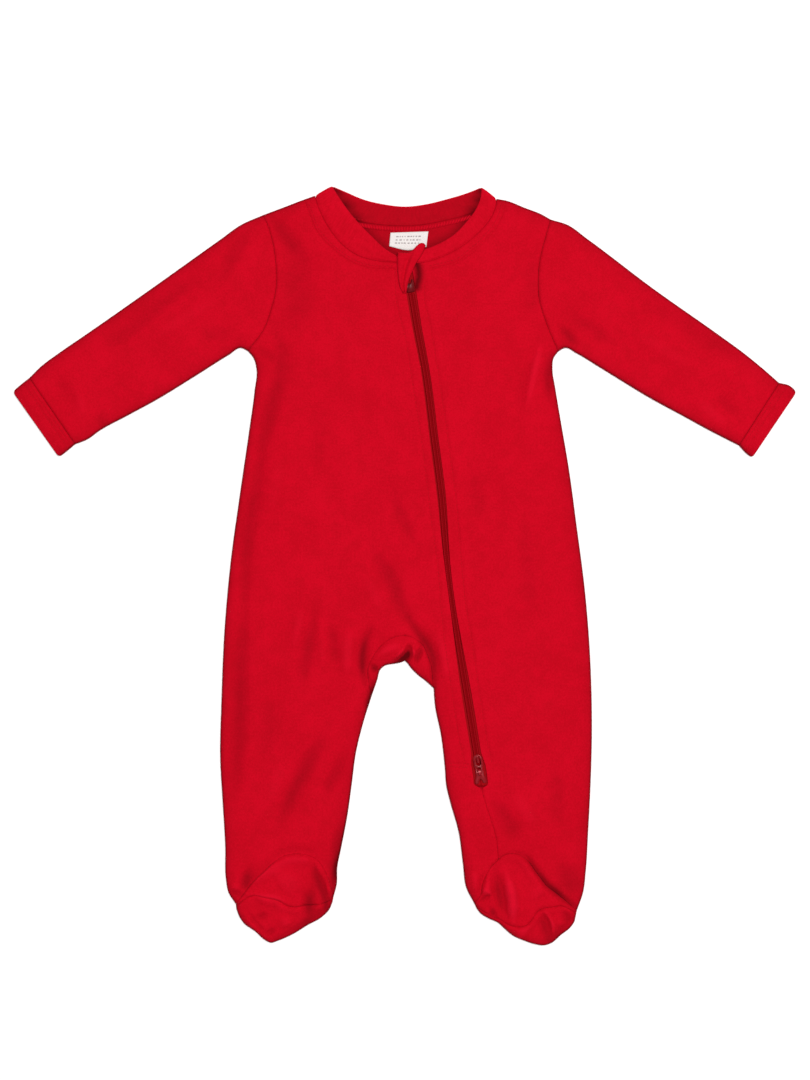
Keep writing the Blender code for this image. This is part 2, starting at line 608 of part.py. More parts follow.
def make_back():
    half = SEAM_GAP / 2
    top = join(smooth(SHOULDER["right"][::-1], BACK_SHOULDER_SHARES["right"]),
               shifted(back_neck(), half),
               smooth(SHOULDER["left"], BACK_SHOULDER_SHARES["left"]))
    arms = {side: shifted(smooth(ARMHOLE[side], ARM_SHARES), by)
            for side, by in (("right", -half), ("left", half))}
    for side in arms:
        arms[side][0], arms[side][-1] = SHOULDER[side][-1], SIDE[side][0]
    crotch = np.array(CROTCH["right"][0], float)
    middle = np.array([crotch[0], arms["right"][-1, 1]])
    chest = join(line(arms["right"][-1], middle, BACK_SHARES),
                 line(middle, arms["left"][-1], BACK_SHARES))
    hip = {side: at_heights(SIDE[side], [crotch[1]])[0] for side in ("right", "left")}
    hips = join(line(hip["right"], crotch, BACK_SHARES), line(crotch, hip["left"], BACK_SHARES))
    sides = {side: at_heights(SIDE[side], np.linspace(SIDE[side][0][1], crotch[1], 11))
             for side in ("right", "left")}
    grids = [patch(top, chest, arms["right"], arms["left"]),
             patch(chest, hips, sides["right"], sides["left"])]
    for side in ("right", "left"):
        inner = join(evenly(CROTCH[side], 6), evenly(LEG_INNER[side], 10))
        heel = line(SIDE[side][-1], LEG_INNER[side][-1], BACK_SHARES)
        outer_y = np.interp(inner[:, 1], [inner[-1, 1], crotch[1]], [heel[0, 1], crotch[1]])
        outer = at_heights(SIDE[side], outer_y)
        outer[0], outer[-1] = hip[side], heel[0]
        if side == "right":
            grids.append(patch(hips[:len(BACK_SHARES)], heel, outer, inner))
        else:
            grids.append(patch(hips[len(BACK_SHARES) - 1:], heel[::-1], inner, outer))
    back_piece("back", grids)


def make_sleeve(side):
    half = SEAM_GAP / 2 * (1 if side == "right" else -1)
    arm = shifted(smooth(ARMHOLE[side], ARM_SHARES), half)
    arm[0] = smooth(SLEEVE_TOP[side], [SLEEVE_START])[0]
    arm[-1] = smooth(SLEEVE_LOW[side], [SLEEVE_START])[0]
    cuff = line(SLEEVE_TOP[side][-1], SLEEVE_LOW[side][-1], ARM_SHARES)
    grid = patch(arm, shifted(cuff, -half), smooth(SLEEVE_TOP[side], SLEEVE_SHARES),
                 smooth(SLEEVE_LOW[side], SLEEVE_SHARES))
    tube_piece(f"sleeve_{side}", grid, WALL)
    end = line(CUFF_TOP[side][-1], CUFF_LOW[side][-1], ARM_SHARES)
    grid = patch(shifted(cuff, half), end, smooth(CUFF_TOP[side], CUFF_SHARES),
                 smooth(CUFF_LOW[side], CUFF_SHARES))
    tube_piece(f"cuff_{side}", grid, CUFF_WALL, BAND_RISE)


def make_gusset():
    half = SEAM_GAP / 2
    right = shifted(smooth(GUSSET_ARC["right"], GUSSET_SHARES), -half)
    left = shifted(smooth(GUSSET_ARC["left"], GUSSET_SHARES), half)
    right[0] = left[0] = np.array(GUSSET_ARC["right"][0]) - (0, half)
    low_right = smooth(CROTCH["right"], GUSSET_SHARES * CROTCH_END)
    low_left = smooth(CROTCH["left"], GUSSET_SHARES * CROTCH_END)
    top, bottom = join(right[::-1], left), join(low_right[::-1], low_left)
    front_piece("gusset", [patch(top, bottom, line(top[0], bottom[0], GUSSET_ROWS),
                                 line(top[-1], bottom[-1], GUSSET_ROWS))])


def make_foot(side):
    half = SEAM_GAP / 2
    if side == "right":
        seam = smooth(INSTEP["right"], LEG_SHARES)
    else:
        seam = join(smooth(INSTEP["left"], STRIP_SHARES), smooth(INSTEP["outer"], FRONT_SHARES))
    shares = shares_of(seam)
    toe = smooth(TOE_SEAM[side], shares)
    top, bottom = shifted(seam, half)[1:-1], shifted(toe, -half)[1:-1]
    ends = [line(top[k], bottom[k], UPPER_SHARES) for k in (0, -1)]
    front_piece(f"foot_upper_{side}", [patch(top, bottom, *ends)], FOOT_WALL, FOOT_ROLL_CLEAR)

    top, outline = shifted(toe, half), smooth(TOE_END[side], shares)
    flap = patch(top, outline, line(top[0], outline[0], FLAP_SHARES),
                 line(top[-1], outline[-1], FLAP_SHARES))
    heel = line(SIDE[side][-1], LEG_INNER[side][-1], shares)
    if side == "left":
        heel = line(LEG_INNER[side][-1], SIDE[side][-1], shares)
    heel = shifted(heel, SEAM_GAP)
    sole = patch(outline, heel, line(outline[0], heel[0], UNDER_SHARES),
                 line(outline[-1], heel[-1], UNDER_SHARES))
    flap_level = front_height(flap.reshape(-1, 2)).reshape(flap.shape[:2])
    sole_level = back_height(sole.reshape(-1, 2)).reshape(sole.shape[:2])
    flap_level[-1] = SEAM_LEVEL
    sheet = np.concatenate([np.dstack([flap, flap_level]),
                            np.dstack([sole, sole_level])[1:]])
    outer, faces = welded([sheet])
    wall(f"sole_{side}", outer, taken_in(outer, faces, FOOT_WALL), faces)


def fold_over(edge, seam, around):
    """Outer points and normals of the neckband where it folds over at a shoulder."""
    reach = BAND_TOP / 2
    along = (edge - seam) / np.linalg.norm(edge - seam)
    out = around * np.array([-along[1], along[0]])
    seam = seam + SEAM_GAP * along
    rows, normals = [], []
    for angle in FOLD_ANGLES:
        middle = line(seam, edge, BAND_SHARES) - out * reach * (1 - np.sin(angle))
        level = np.full(len(BAND_SHARES), reach * (1 + np.cos(angle)))
        rows.append(np.column_stack([middle, level]))
        normals.append(np.tile([*(out * np.sin(angle)), np.cos(angle)], (len(BAND_SHARES), 1)))
    return rows, normals


def make_neckband():
    half = SEAM_GAP / 2
    crown = BAND_TOP - BAND_EDGE_DROP * (2 * BAND_SHARES - 1) ** 4
    rows, normals = [], []

    def lay(seam, edge, level, up):
        for a, b in zip(seam, edge):
            rows.append(np.column_stack([line(a, b, BAND_SHARES), level]))
            normals.append(np.tile([0, 0, up], (len(BAND_SHARES), 1)))

    flat = np.zeros(len(BAND_SHARES))
    right_seam = shifted(front_neck("right"), -half)[::-1]
    right_edge = evenly(NECK_EDGE["right"], len(right_seam))[::-1]
    lay(right_seam[:-1], right_edge[:-1], crown, 1)
    fold, facing = fold_over(np.array(NECK_EDGE["right"][0], float),
                             np.array(NECK_SEAM["right"][0], float), 1)
    rows += fold
    normals += facing
    seam = shifted(back_neck(), -half)
    edge = evenly(BACK_NECK_EDGE, len(seam))
    lay(seam[1:-1], edge[1:-1], flat, -1)
    fold, facing = fold_over(np.array(NECK_EDGE["left"][0], float),
                             np.array(NECK_SEAM["left"][0], float), -1)
    rows += fold[::-1]
    normals += facing[::-1]
    left_seam = shifted(front_neck("left"), half)
    left_edge = evenly(NECK_EDGE["left"], len(left_seam))
    lay(left_seam[1:], left_edge[1:], crown, 1)
    outer = np.array(rows).reshape(-1, 3)
    inner = outer - DOUBLE_WALL * np.array(normals, float).reshape(-1, 3)
    wall("neckband", outer, inner, grid_faces(len(rows), len(BAND_SHARES)))


def strip_along(name, heights, offsets, upper, lower, colour):
    """A strip that follows the zip, with one level for each offset from its middle."""
    rows = [np.column_stack([zip_middle(np.full(len(offsets), y)) + offsets,
                             np.full(len(offsets), y), upper]) for y in heights]
    outer = np.array(rows).reshape(-1, 3)
    inner = outer.copy()
    inner[:, 2] = lower
    wall(name, outer, inner, grid_faces(len(heights), len(offsets)), colour)


def make_zip():
    low, high = TAPE_LEVELS
    heights = np.linspace(*TAPE_ENDS, 22)
    for name, side in (("zip_tape_right", -1), ("zip_tape_left", 1)):
        offsets = side * np.array([SEAM_GAP / 2, TAPE_WIDTH / 2, TAPE_WIDTH])
        strip_along(name, heights, np.sort(offsets), np.full(3, high), low, "tape")
    low, high = COIL_LEVELS
    offsets = COIL_WIDTH * np.array([-.5, -.32, 0, .32, .5])
    crown = high - np.array([.75, 0, .35, 0, .75])
    strip_along("zip_chain", np.linspace(*COIL_ENDS, 26), offsets, crown, low, "tape")


def plate(name, outline, low, high, holes=(), bevel=0.0):
    """A flat outline with holes, from one level up to another, as a filled curve."""
    curve = bpy.data.curves.new(name, "CURVE")
    curve.dimensions = "2D"
    curve.fill_mode = "BOTH"
    for points in (outline, *holes):
        spline = curve.splines.new("POLY")
        spline.points.add(len(points) - 1)
        for point, (x, y) in zip(spline.points, points):
            point.co = (x * MM, y * MM, 0, 1)
        spline.use_cyclic_u = True
    curve.extrude = (high - low) / 2 * MM
    shape = bpy.data.objects.new(name + "_shape", curve)
    bpy.context.scene.collection.objects.link(shape)
    mesh = bpy.data.meshes.new_from_object(shape.evaluated_get(
        bpy.context.evaluated_depsgraph_get()))
    bpy.data.objects.remove(shape)
    worked = bmesh.new()
    worked.from_mesh(mesh)
    bmesh.ops.remove_doubles(worked, verts=worked.verts, dist=SAME_POINT)
    bmesh.ops.dissolve_limit(worked, angle_limit=FLAT_BELOW, verts=worked.verts, edges=worked.edges)
    bmesh.ops.translate(worked, verts=worked.verts, vec=(0, 0, (low + high) / 2 * MM))
    if bevel:
        sharp = [edge for edge in worked.edges if edge.calc_face_angle(0) > BEVEL_ABOVE]
        bmesh.ops.bevel(worked, geom=sharp, offset=bevel * MM, segments=1, affect="EDGES")
    bmesh.ops.recalc_face_normals(worked, faces=worked.faces)
    worked.to_mesh(mesh)
    worked.free()
    made = bpy.data.objects.new(name, mesh)
    bpy.context.scene.collection.objects.link(made)
    return made


def slider_outline(width):
    """Narrow where the coil enters, with two legs at the far end."""
    narrow, wide, end = SLIDER_TOP_WIDTH / 2, width / 2, 1.2 - SLIDER_LENGTH
    half = [(narrow - 1.0, 1.2), (narrow, 0.3), (narrow, -2.6), (wide, -6.4),
            (wide, end + 0.9), (wide - 0.8, end), (1.9, end), (1.1, end + 2.6), (0, end + 3.6)]
    return half + [(-x, y) for x, y in reversed(half[:-1])]


def crown_profile():
    """An arch in the plane of its own length and height, open below."""
    reach, leg = CROWN_HALF_LENGTH, CROWN_LEG
    top, under, foot = CROWN_TOP, CROWN_TOP - CROWN_BAR, SLIDER_LEVELS[1] - 0.6
    return [(-reach, foot), (-reach, top - 0.9), (-reach + 0.9, top), (reach - 0.9, top),
            (reach, top - 0.9), (reach, foot), (reach - leg, foot), (reach - leg, under),
            (-reach + leg, under), (-reach + leg, foot)]


def make_slider(name, place, width, turned):
    """A slider body on the coil."""
    body = plate(name, slider_outline(width), *SLIDER_LEVELS, bevel=SLIDER_BEVEL)
    body.data.materials.append(material(name, COLOURS["enamel"], 0.35, 0.3))
    body.location = (zip_middle(place) * MM, place * MM, 0)
    body.rotation_euler = (0, 0, zip_turn(place) + turned)
    return body


def make_crown(body):
    """The arch on a slider that carries its pull tab."""
    profile = crown_profile()
    count = len(profile)
    points = [(x, y, z) for x in (-CROWN_HALF_WIDTH, CROWN_HALF_WIDTH) for y, z in profile]
    faces = [tuple(range(count)), tuple(reversed(range(count, 2 * count)))]
    faces += [(k, (k + 1) % count, (k + 1) % count + count, k + count) for k in range(count)]
    arch = add_object("crown_arch", points, faces, "enamel")
    arch.parent = body
    arch.hide_render = True
    arch.display_type = "WIRE"
    joined = body.modifiers.new("crown", "BOOLEAN")
    joined.operation = "UNION"
    joined.object = arch


def zip_turn(y):
    """The turn about Z that points +Y up along the zip."""
    return np.arctan2(zip_middle(y - 5) - zip_middle(y + 5), 10)


def round_end(half, y, count=7):
    angles = np.linspace(0, np.pi, count)
    return [(half * np.cos(a), y + half * np.sin(a)) for a in angles]


def make_pull_tab():
    half = TAB_WIDTH / 2
    tip = TAB_LENGTH - TAB_THICKNESS / 2 - half
    outline = [(-half + 0.8, -0.6), (half - 0.8, -0.6), (half - 0.4, 3.5), (half, 5.5)]
    outline += round_end(half, tip) + [(-half, 5.5), (-half + 0.4, 3.5)]
    near, far, wide = TAB_EYE
    eye = [(-wide, near), (wide, near), (wide, far), (-wide, far)]
    near, far, wide = TAB_SLOT
    length, tongue = TAB_TONGUE
    slot = [(-wide, near + 0.8), (-wide + 0.8, near), (wide - 0.8, near), (wide, near + 0.8),
            (wide, far - 1.2), (tongue, far), (tongue, far - length + 0.9), (0, far - length),
            (-tongue, far - length + 0.9), (-tongue, far), (-wide, far - 1.2)]
    tab = plate("pull_tab", outline, -TAB_THICKNESS / 2, TAB_THICKNESS / 2, (eye, slot))
    tab.data.materials.append(material("pull_tab", COLOURS["enamel"], 0.35, 0.3))
    tab.location = (zip_middle(SLIDER_PLACE) * MM, SLIDER_PLACE * MM, HINGE_LEVEL * MM)
    tab.rotation_euler = (0, 0, zip_turn(SLIDER_PLACE))


def make_garage():
    rows, columns = 9, 8
    top = evenly(GARAGE_TOP, columns)
    left, right = evenly(GARAGE_LEFT, rows), evenly(GARAGE_RIGHT, rows)
    grid = patch(top, line(left[-1], right[-1], np.linspace(0, 1, columns)), left, right)
    across = np.linspace(0, 1, columns)[None, :]
    down = np.linspace(0, 1, rows)[:, None]
    low, left_lobe, right_lobe = GARAGE_LEVELS
    level = (low + left_lobe * np.exp(-((across - .24) / .17) ** 2) * (1 - .5 * down)
             + right_lobe * np.exp(-((across - .78) / .2) ** 2) * (1 - .75 * down))
    outer, faces = welded([np.dstack([grid, level])])
    inner = outer.copy()
    inner[:, 2] = np.maximum(outer[:, 2] - WALL, GARAGE_FLOOR)
    wall("zip_garage", outer, inner, faces)


def make_label():
    sides = [line(LABEL["top_left"], LABEL["low_left"], [0, .5, 1]),
             line(LABEL["top_right"], LABEL["low_right"], [0, .5, 1])]
    bottom = evenly([LABEL["low_left"], LABEL["low_middle"], LABEL["low_right"]], 7)
    grid = patch(line(LABEL["top_left"], LABEL["top_right"], np.linspace(0, 1, 7)), bottom, *sides)
    low, high = LABEL_LEVELS
    flat, faces = welded([grid])
    wall("label", np.column_stack([flat, np.full(len(flat), high)]),
         np.column_stack([flat, np.full(len(flat), low)]), faces, "label")


def main():
    for old in list(bpy.data.objects):
        bpy.data.objects.remove(old)
    make_back()
    make_front_right()
    make_front_left()
    for side in ("right", "left"):
        make_sleeve(side)
        make_foot(side)
    make_gusset()
    make_neckband()
    make_zip()
    make_slider("slider_top", TOP_SLIDER_PLACE, SLIDER_WIDTH_IN_SLOT, np.pi)
    make_crown(make_slider("slider_bottom", SLIDER_PLACE, SLIDER_WIDTH, 0))
    make_pull_tab()
    make_garage()
    make_label()


main()
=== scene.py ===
import bmesh
import bpy
import numpy as np
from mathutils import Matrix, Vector
from mathutils.geometry import delaunay_2d_cdt


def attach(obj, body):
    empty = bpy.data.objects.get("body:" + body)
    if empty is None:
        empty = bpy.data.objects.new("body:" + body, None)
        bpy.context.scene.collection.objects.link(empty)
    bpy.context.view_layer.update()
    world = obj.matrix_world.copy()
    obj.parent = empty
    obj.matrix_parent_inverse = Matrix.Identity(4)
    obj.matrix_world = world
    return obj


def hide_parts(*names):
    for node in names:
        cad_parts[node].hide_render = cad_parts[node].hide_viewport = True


# Baby's footed sleepsuit, laid flat with its front up. Tables are in millimetres.
# Right and left are the wearer's: right is at -X, the neck is at +Y.
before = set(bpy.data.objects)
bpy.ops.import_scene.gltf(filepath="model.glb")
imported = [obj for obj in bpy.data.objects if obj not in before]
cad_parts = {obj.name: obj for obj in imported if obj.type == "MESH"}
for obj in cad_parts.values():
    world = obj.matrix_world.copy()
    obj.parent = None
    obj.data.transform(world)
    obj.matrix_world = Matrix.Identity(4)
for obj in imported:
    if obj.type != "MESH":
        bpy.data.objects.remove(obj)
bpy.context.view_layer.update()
mm = 0.001
bothSides = ("right", "left")
outwards = {"right": 1, "left": -1}  # the side of a line drawn downwards that faces outwards

shoulder = {"right": [(-71.5, 295.5), (-80, 292.5), (-97, 286), (-113, 280)],
            "left": [(74, 293), (82, 291.5), (96, 286), (110, 280.5), (117, 276.5)]}
sleeveTop = {"right": [(-113, 280), (-130, 272.5), (-147, 260.5), (-201, 222), (-256, 183.5),
                       (-275, 170.5), (-291, 158.5), (-299.5, 150)],
             "left": [(117, 276.5), (130, 272.5), (147, 260.5), (198, 222), (252.5, 183.5),
                      (271, 170), (287, 157), (299.5, 146)]}
sleeveLow = {"right": [(-125, 171.5), (-130.5, 174), (-140, 168.5), (-167, 151.5),
                       (-198, 132.5), (-222, 119.5), (-244, 107.5), (-253, 101), (-263, 97)],
             "left": [(123, 171), (128.5, 174), (138, 169.5), (157, 158), (199, 132.5),
                      (223, 119.5), (245, 107.5), (267.5, 96)]}
cuffTop = {"right": [(-299.5, 150), (-306.5, 144.5), (-313, 139)],
           "left": [(299.5, 146), (307.5, 144), (313.7, 139)]}
cuffLow = {"right": [(-263, 97), (-269.5, 91.5), (-276, 86.5)],
           "left": [(267.5, 96), (272.5, 90.5), (278, 86)]}
armhole = {"right": [(-113, 280), (-109.5, 273), (-105, 258), (-102.5, 240.5), (-102.5, 221),
                     (-106, 206), (-111.5, 190), (-125, 171.5)],
           "left": [(117, 276.5), (112.5, 261), (108.5, 245), (107, 227.5), (108, 212),
                    (112, 198), (116.5, 186), (123, 171)]}
side = {"right": [(-125, 171.5), (-120.5, 166), (-118, 157), (-119.5, 140), (-124, 107),
                  (-131.5, 55.5), (-138.5, 4.5), (-143.5, -50), (-146, -107), (-147, -155),
                  (-145, -190), (-143, -225), (-142.5, -250), (-140.5, -261), (-134.5, -270.5)],
        "left": [(123, 171), (119.5, 166), (118.5, 156), (120.5, 143), (125, 116), (131, 81),
                 (138, 30), (144.5, -21), (148.5, -72), (150, -130), (148.5, -184),
                 (147, -212), (145, -245), (143, -261), (138, -275.5)]}
legInner = {"right": [(-26, -104), (-32, -123), (-38.5, -149), (-42, -175), (-45.5, -200),
                      (-50.5, -226), (-53.5, -241), (-54, -255), (-56.5, -264.5)],
            "left": [(23.5, -98), (24.5, -111), (29.5, -136), (32.5, -162), (33.5, -175),
                     (36.5, -188), (43.5, -213), (47, -239), (49.5, -257), (56, -270)]}
crotch = {"right": [(0.5, -76), (-3, -77.5), (-8.5, -78.5), (-15.5, -80), (-19, -83),
                    (-21.5, -91), (-26, -104)],
          "left": [(0.5, -76), (2.5, -78), (5.5, -82), (10.5, -87), (17.5, -92.5), (23.5, -98)]}
gussetArc = {"right": [(0.5, -56), (-5, -56.5), (-11, -58.5), (-18.5, -64), (-23.5, -70.5),
                       (-27.5, -77.5), (-29.5, -84), (-28.5, -93), (-26, -104)],
             "left": [(0.5, -56), (5, -56.7), (10.5, -59.5), (15.5, -64.5), (18.5, -71),
                      (21, -78.5), (22.5, -88), (23.5, -98)]}
instep = {"right": [(-134.5, -270.5), (-126.5, -259.5), (-119.5, -251), (-112, -244),
                    (-104.5, -237), (-95.5, -231.5), (-85.5, -230), (-76, -231.5),
                    (-69, -235.5), (-63, -244.5), (-59.5, -252.5), (-56.5, -264.5)],
          "left": [(56, -270), (61, -263), (62, -255.5), (64.5, -249), (68.5, -242),
                   (75.2, -234.5)],
          "outer": [(75.2, -234.5), (80, -231.2), (86.5, -230), (94, -232), (99.5, -236.5),
                    (104, -243), (108.5, -249), (113.5, -255.5), (120.5, -261), (128, -267),
                    (138, -275.5)]}
toeSeam = {"right": [(-134.3, -272.6), (-128, -267), (-122, -264), (-109, -265.5),
                     (-100.5, -267.5), (-94.5, -271), (-88, -272.5), (-80, -271.5),
                     (-66.5, -270.5), (-57, -266.6)],
           "left": [(57.2, -272), (62, -275.5), (68.5, -279), (76, -282.5), (83, -286.5),
                    (91.5, -288.5), (97.5, -287), (102, -282.5), (105.5, -277.5), (110, -274),
                    (117, -272.8), (127, -272.2), (132, -274.5), (137.5, -277.8)]}
toeEnd = {"right": [(-134, -274.8), (-131.5, -281), (-128.5, -285.5), (-119, -292.5),
                    (-111, -299.5), (-106.5, -301.5), (-101.5, -300), (-88, -294),
                    (-77.5, -287.5), (-66, -281), (-60, -275), (-57.3, -268.8)],
          "left": [(58, -274.2), (61, -278), (67, -281.8), (75, -285.5), (80.5, -290.5),
                   (86.5, -295.5), (96.5, -300), (104, -302.5), (112.5, -303.4), (117, -302),
                   (125.5, -295), (132.5, -289.5), (136, -284.5), (137, -280.3)]}
neckEdge = {"right": [(-58, 303.5), (-52, 294), (-43.5, 282), (-27.5, 264.5), (-13, 251.5),
                      (-6.3, 247.6)],
            "left": [(62, 302.5), (60.5, 292.5), (56.5, 283.5), (50, 275), (40.5, 265),
                     (20.5, 254), (3.5, 249.2)]}
neckSeam = {"right": [(-71.5, 295.5), (-69, 287), (-63.5, 275), (-56, 263.5), (-46.5, 253.5),
                      (-35.5, 246.8), (-24, 243.6), (-9.5, 242), (-4.2, 241.6)],
            "left": [(74, 293), (73.2, 287), (69.5, 278), (63.5, 270), (57, 263.5),
                     (40.5, 251.5), (20.5, 243), (5.2, 240.6)]}
backNeckEdge = [(-58, 303.5), (-47.5, 299), (-32, 292.5), (-15.5, 288.7), (0.5, 287),
                (16.5, 288.7), (32.5, 292.5), (53.5, 299), (62, 302.5)]
backNeckSeam = [(-71.5, 295.5), (-70, 292.4), (-66.5, 289), (-58, 283), (-45, 277.5),
                (-35.5, 275), (-20.5, 272.6), (-3, 271.6), (15.5, 272.6), (28.5, 275),
                (45.5, 279), (60, 284), (68.5, 287.6), (72, 290.4), (74, 293)]
zipLine = [(-2, 252.5), (1, 242), (5.5, 218), (10.5, 188.5), (16.5, 157), (24, 99.5),
           (29.5, 57), (34, 5), (38, -27.5), (43, -61), (48.5, -95), (54, -128.5),
           (57.5, -150), (60.5, -168), (61.5, -177)]
seamBelowZip = [(61.5, -177), (65, -190), (69.5, -203.5), (73, -215.5), (75.2, -234.5)]

topstitch = {"neckRight": [(-78.9, 288.4), (-75.4, 279.6), (-71.4, 269.2), (-65.8, 261.2),
                           (-57.8, 253.2), (-49.8, 246.8), (-38.6, 240.4), (-25, 236.7),
                           (-8.2, 236.7)],
             "neckLeft": [(80.2, 288.8), (78.2, 280.4), (73.4, 270.8), (67, 262.8),
                          (60.2, 255.6), (52.6, 249.6), (46.8, 244.7), (20.6, 236.4)],
             "zipRight": [(-7.5, 236.5), (-6.8, 215.6), (1, 181.2), (7.5, 139.6), (13.2, 104.4),
                          (17.4, 71.6), (21.7, 35.6), (26, 5.5), (30, -38.8), (33.9, -72.4),
                          (39, -106), (44, -139.6), (48.5, -158)],
             "zipLeft": [(17.5, 235.5), (16, 215.6), (21, 190), (26, 161.2), (31.8, 122.8),
                         (37.4, 82.8), (41.7, 50), (44.6, 14), (49.4, -33.2), (55, -66.8),
                         (60.6, -106), (66.2, -139.6), (69.8, -156.4)],
             "barUpper": [(37.4, -158), (51, -158.6)], "barLower": [(37.8, -160.6), (50, -161.2)]}


# Smooth lines: the step between their points, how near to a line a point is measured from it,
# and the distance that stands for any farther one
tracing = {"step": 1.6, "footStep": 1.3, "coarseStep": 4, "fineStep": 0.2, "reach": 18.0,
           "nearReach": 5, "seamReach": 9, "far": 1e3}


# Points at equal steps on a smooth curve through a table's points
def curve(table, step=tracing["step"]):
    points = np.array(table, float)
    length = np.concatenate([[0], np.cumsum(np.linalg.norm(np.diff(points, axis=0), axis=1))])
    count = max(3, int(round(length[-1] / step)) + 1)
    at = np.linspace(0, 1, count) * length[-1]
    slope = np.gradient(points, length, axis=0)
    k = np.clip(np.searchsorted(length, at, side="right") - 1, 0, len(points) - 2)
    gap = (length[k + 1] - length[k])[:, None]
    t = (at - length[k])[:, None] / gap
    return ((2 * t**3 - 3 * t**2 + 1) * points[k] + (t**3 - 2 * t**2 + t) * gap * slope[k]
            + (3 * t**2 - 2 * t**3) * points[k + 1] + (t**3 - t**2) * gap * slope[k + 1])


def coarse(table):
    return curve(table, tracing["coarseStep"])


def straight(start, end):
    return curve([start, tuple((np.array(start) + end) / 2), end])


def joined(*runs):
    return np.concatenate([runs[0]] + [run[1:] for run in runs[1:]])


def moved(points, by):
    along = np.gradient(points, axis=0)
    along /= np.linalg.norm(along, axis=1)[:, None]
    return points + by * np.column_stack([along[:, 1], -along[:, 0]])


# Distance to a line, length along it and the side of it (right is positive)
def beside(points, line, reach=tracing["reach"]):
    away = np.full(len(points), tracing["far"])
    along = np.zeros(len(points))
    lean = np.zeros(len(points))
    inBox = (points > line.min(axis=0) - reach) & (points < line.max(axis=0) + reach)
    near = np.flatnonzero(inBox.all(axis=1))
    close = points[near]
    best = np.full(len(near), tracing["far"]**2)
    at, turn = np.zeros(len(near)), np.zeros(len(near))
    start = 0.0
    for a, b in zip(line[:-1], line[1:]):
        run = b - a
        size = np.linalg.norm(run)
        rest = close - a
        t = np.clip(rest @ run / size**2, 0, 1)
        gap = rest - t[:, None] * run
        square = (gap**2).sum(axis=1)
        won = square < best
        best[won] = square[won]
        at[won] = start + t[won] * size
        turn[won] = np.sign(gap[won] @ np.array([run[1], -run[0]]))
        start += size
    away[near], along[near], lean[near] = np.sqrt(best), at, turn
    return away, along, lean


def bell(value, half):
    return np.exp(-(value / half) ** 2)


def ramp(value, start, end):
    t = np.clip((value - start) / (end - start), 0, 1)
    return t * t * (3 - 2 * t)


# A quarter round: 0 at an edge, 1 from this radius on
def quarterRound(away, radius):
    return np.sqrt(1 - (1 - np.clip(away / radius, 0, 1)) ** 2)


waveGrid = {"cells": (96, 88), "offset": 500}


# Smooth random waves of about this size, on a grid of random heights that repeats
def waves(points, size, seed):
    columns, lines = waveGrid["cells"]
    grid = np.random.default_rng(seed).uniform(-1, 1, (columns + 1, lines + 1))
    place = points / size + waveGrid["offset"]
    cell = np.floor(place).astype(int)
    t = place - cell
    t = t * t * t * (t * (t * 6 - 15) + 10)
    i, j = cell[:, 0] % columns, cell[:, 1] % lines
    low = grid[i, j] * (1 - t[:, 0]) + grid[i + 1, j] * t[:, 0]
    high = grid[i, j + 1] * (1 - t[:, 0]) + grid[i + 1, j + 1] * t[:, 0]
    return low * (1 - t[:, 1]) + high * t[:, 1]


# Waves as a table gives them: height, size and seed
def waved(points, row):
    height, size, seed = row
    return height * waves(points, size, seed)


zipCurve = joined(curve(zipLine), curve(seamBelowZip))

# The slot that the zip fills: half its width at some heights, and the hem turned in beside it
slot = {"half": 4.0, "bottom": -177,
        "rows": (-178, -175, -159, -150, -116, -90, -77, -58, -42, -20, 2, 20, 38, 62, 150, 190,
                 214),
        "halves": (0.02, 5.6, 5.6, 3.9, 4.0, 3.8, 3.4, 2.8, 2.3, 2.1, 2.3, 2.8, 3.2, 3.5, 3.4,
                   3.7, 4.0),
        "hemWidth": 11.0, "hemRise": 0.35, "hemFade": (1.2, 0.6), "hemEnd": (-178, -166)}


def zipMiddle(y):
    order = np.argsort(zipCurve[:, 1])
    return np.interp(y, zipCurve[order, 1], zipCurve[order, 0])


def zipEdge(top, which):
    bottom = slot["bottom"]
    y = np.linspace(top, bottom, int(abs(top - bottom) / tracing["step"]) + 1)
    half = np.interp(y, slot["rows"], slot["halves"])
    return np.column_stack([zipMiddle(y) + which * half, y])


def hemShare(points):
    x, y = points.T
    away = np.abs(x - zipMiddle(y)) - slot["half"]
    outer, inner = slot["hemFade"]
    hem = ramp(-away, -slot["hemWidth"] - outer, -slot["hemWidth"] + inner)
    return hem * ramp(y, *slot["hemEnd"])


def cuffLine(which):
    return straight(sleeveTop[which][-1], sleeveLow[which][-1])


outlineRuns = [curve(table[s]) for s in bothSides for table in
               (shoulder, sleeveTop, sleeveLow, cuffTop, cuffLow, side, legInner, toeEnd)]
outlineRuns += [np.array([side[s][-1], toeEnd[s][0 if s == "right" else -1]], float)
                for s in bothSides]
outlineRuns += [np.array([legInner[s][-1], toeEnd[s][-1 if s == "right" else 0]], float)
                for s in bothSides]
crotchRuns = [curve(crotch[s]) for s in bothSides]


def fromRuns(points, runs):
    return np.min([beside(points, run)[0] for run in runs], axis=0)


print("outline ready")

# Levels and thickness of the cloth; a wave is its height, size and seed
cloth = {"wall": 1.2, "leastWall": 0.02, "seamLevel": 2.0, "frontRise": 2.4, "roll": 5.0,
         "backRoll": 2.5, "lowest": 2.5, "frontFloor": 1.6, "backCeiling": 1.7,
         "formFade": 8, "seamFade": 2, "rim": 0.3, "rimLift": 0.1, "underFade": (2, 14),
         "softWave": (0.2, 17, 3), "broadWave": (0.35, 46, 5), "underWave": (0.3, 31, 11)}
# How a fold's row is read: the gain on its rise, its share of height and width at the ends
foldLook = {"gain": 1.7, "footGain": 1.9, "end": 0.3, "fadeIn": 0.4, "fadeOut": 0.35,
            "width": (0.7, 0.45), "reach": 26, "cutOff": 100}

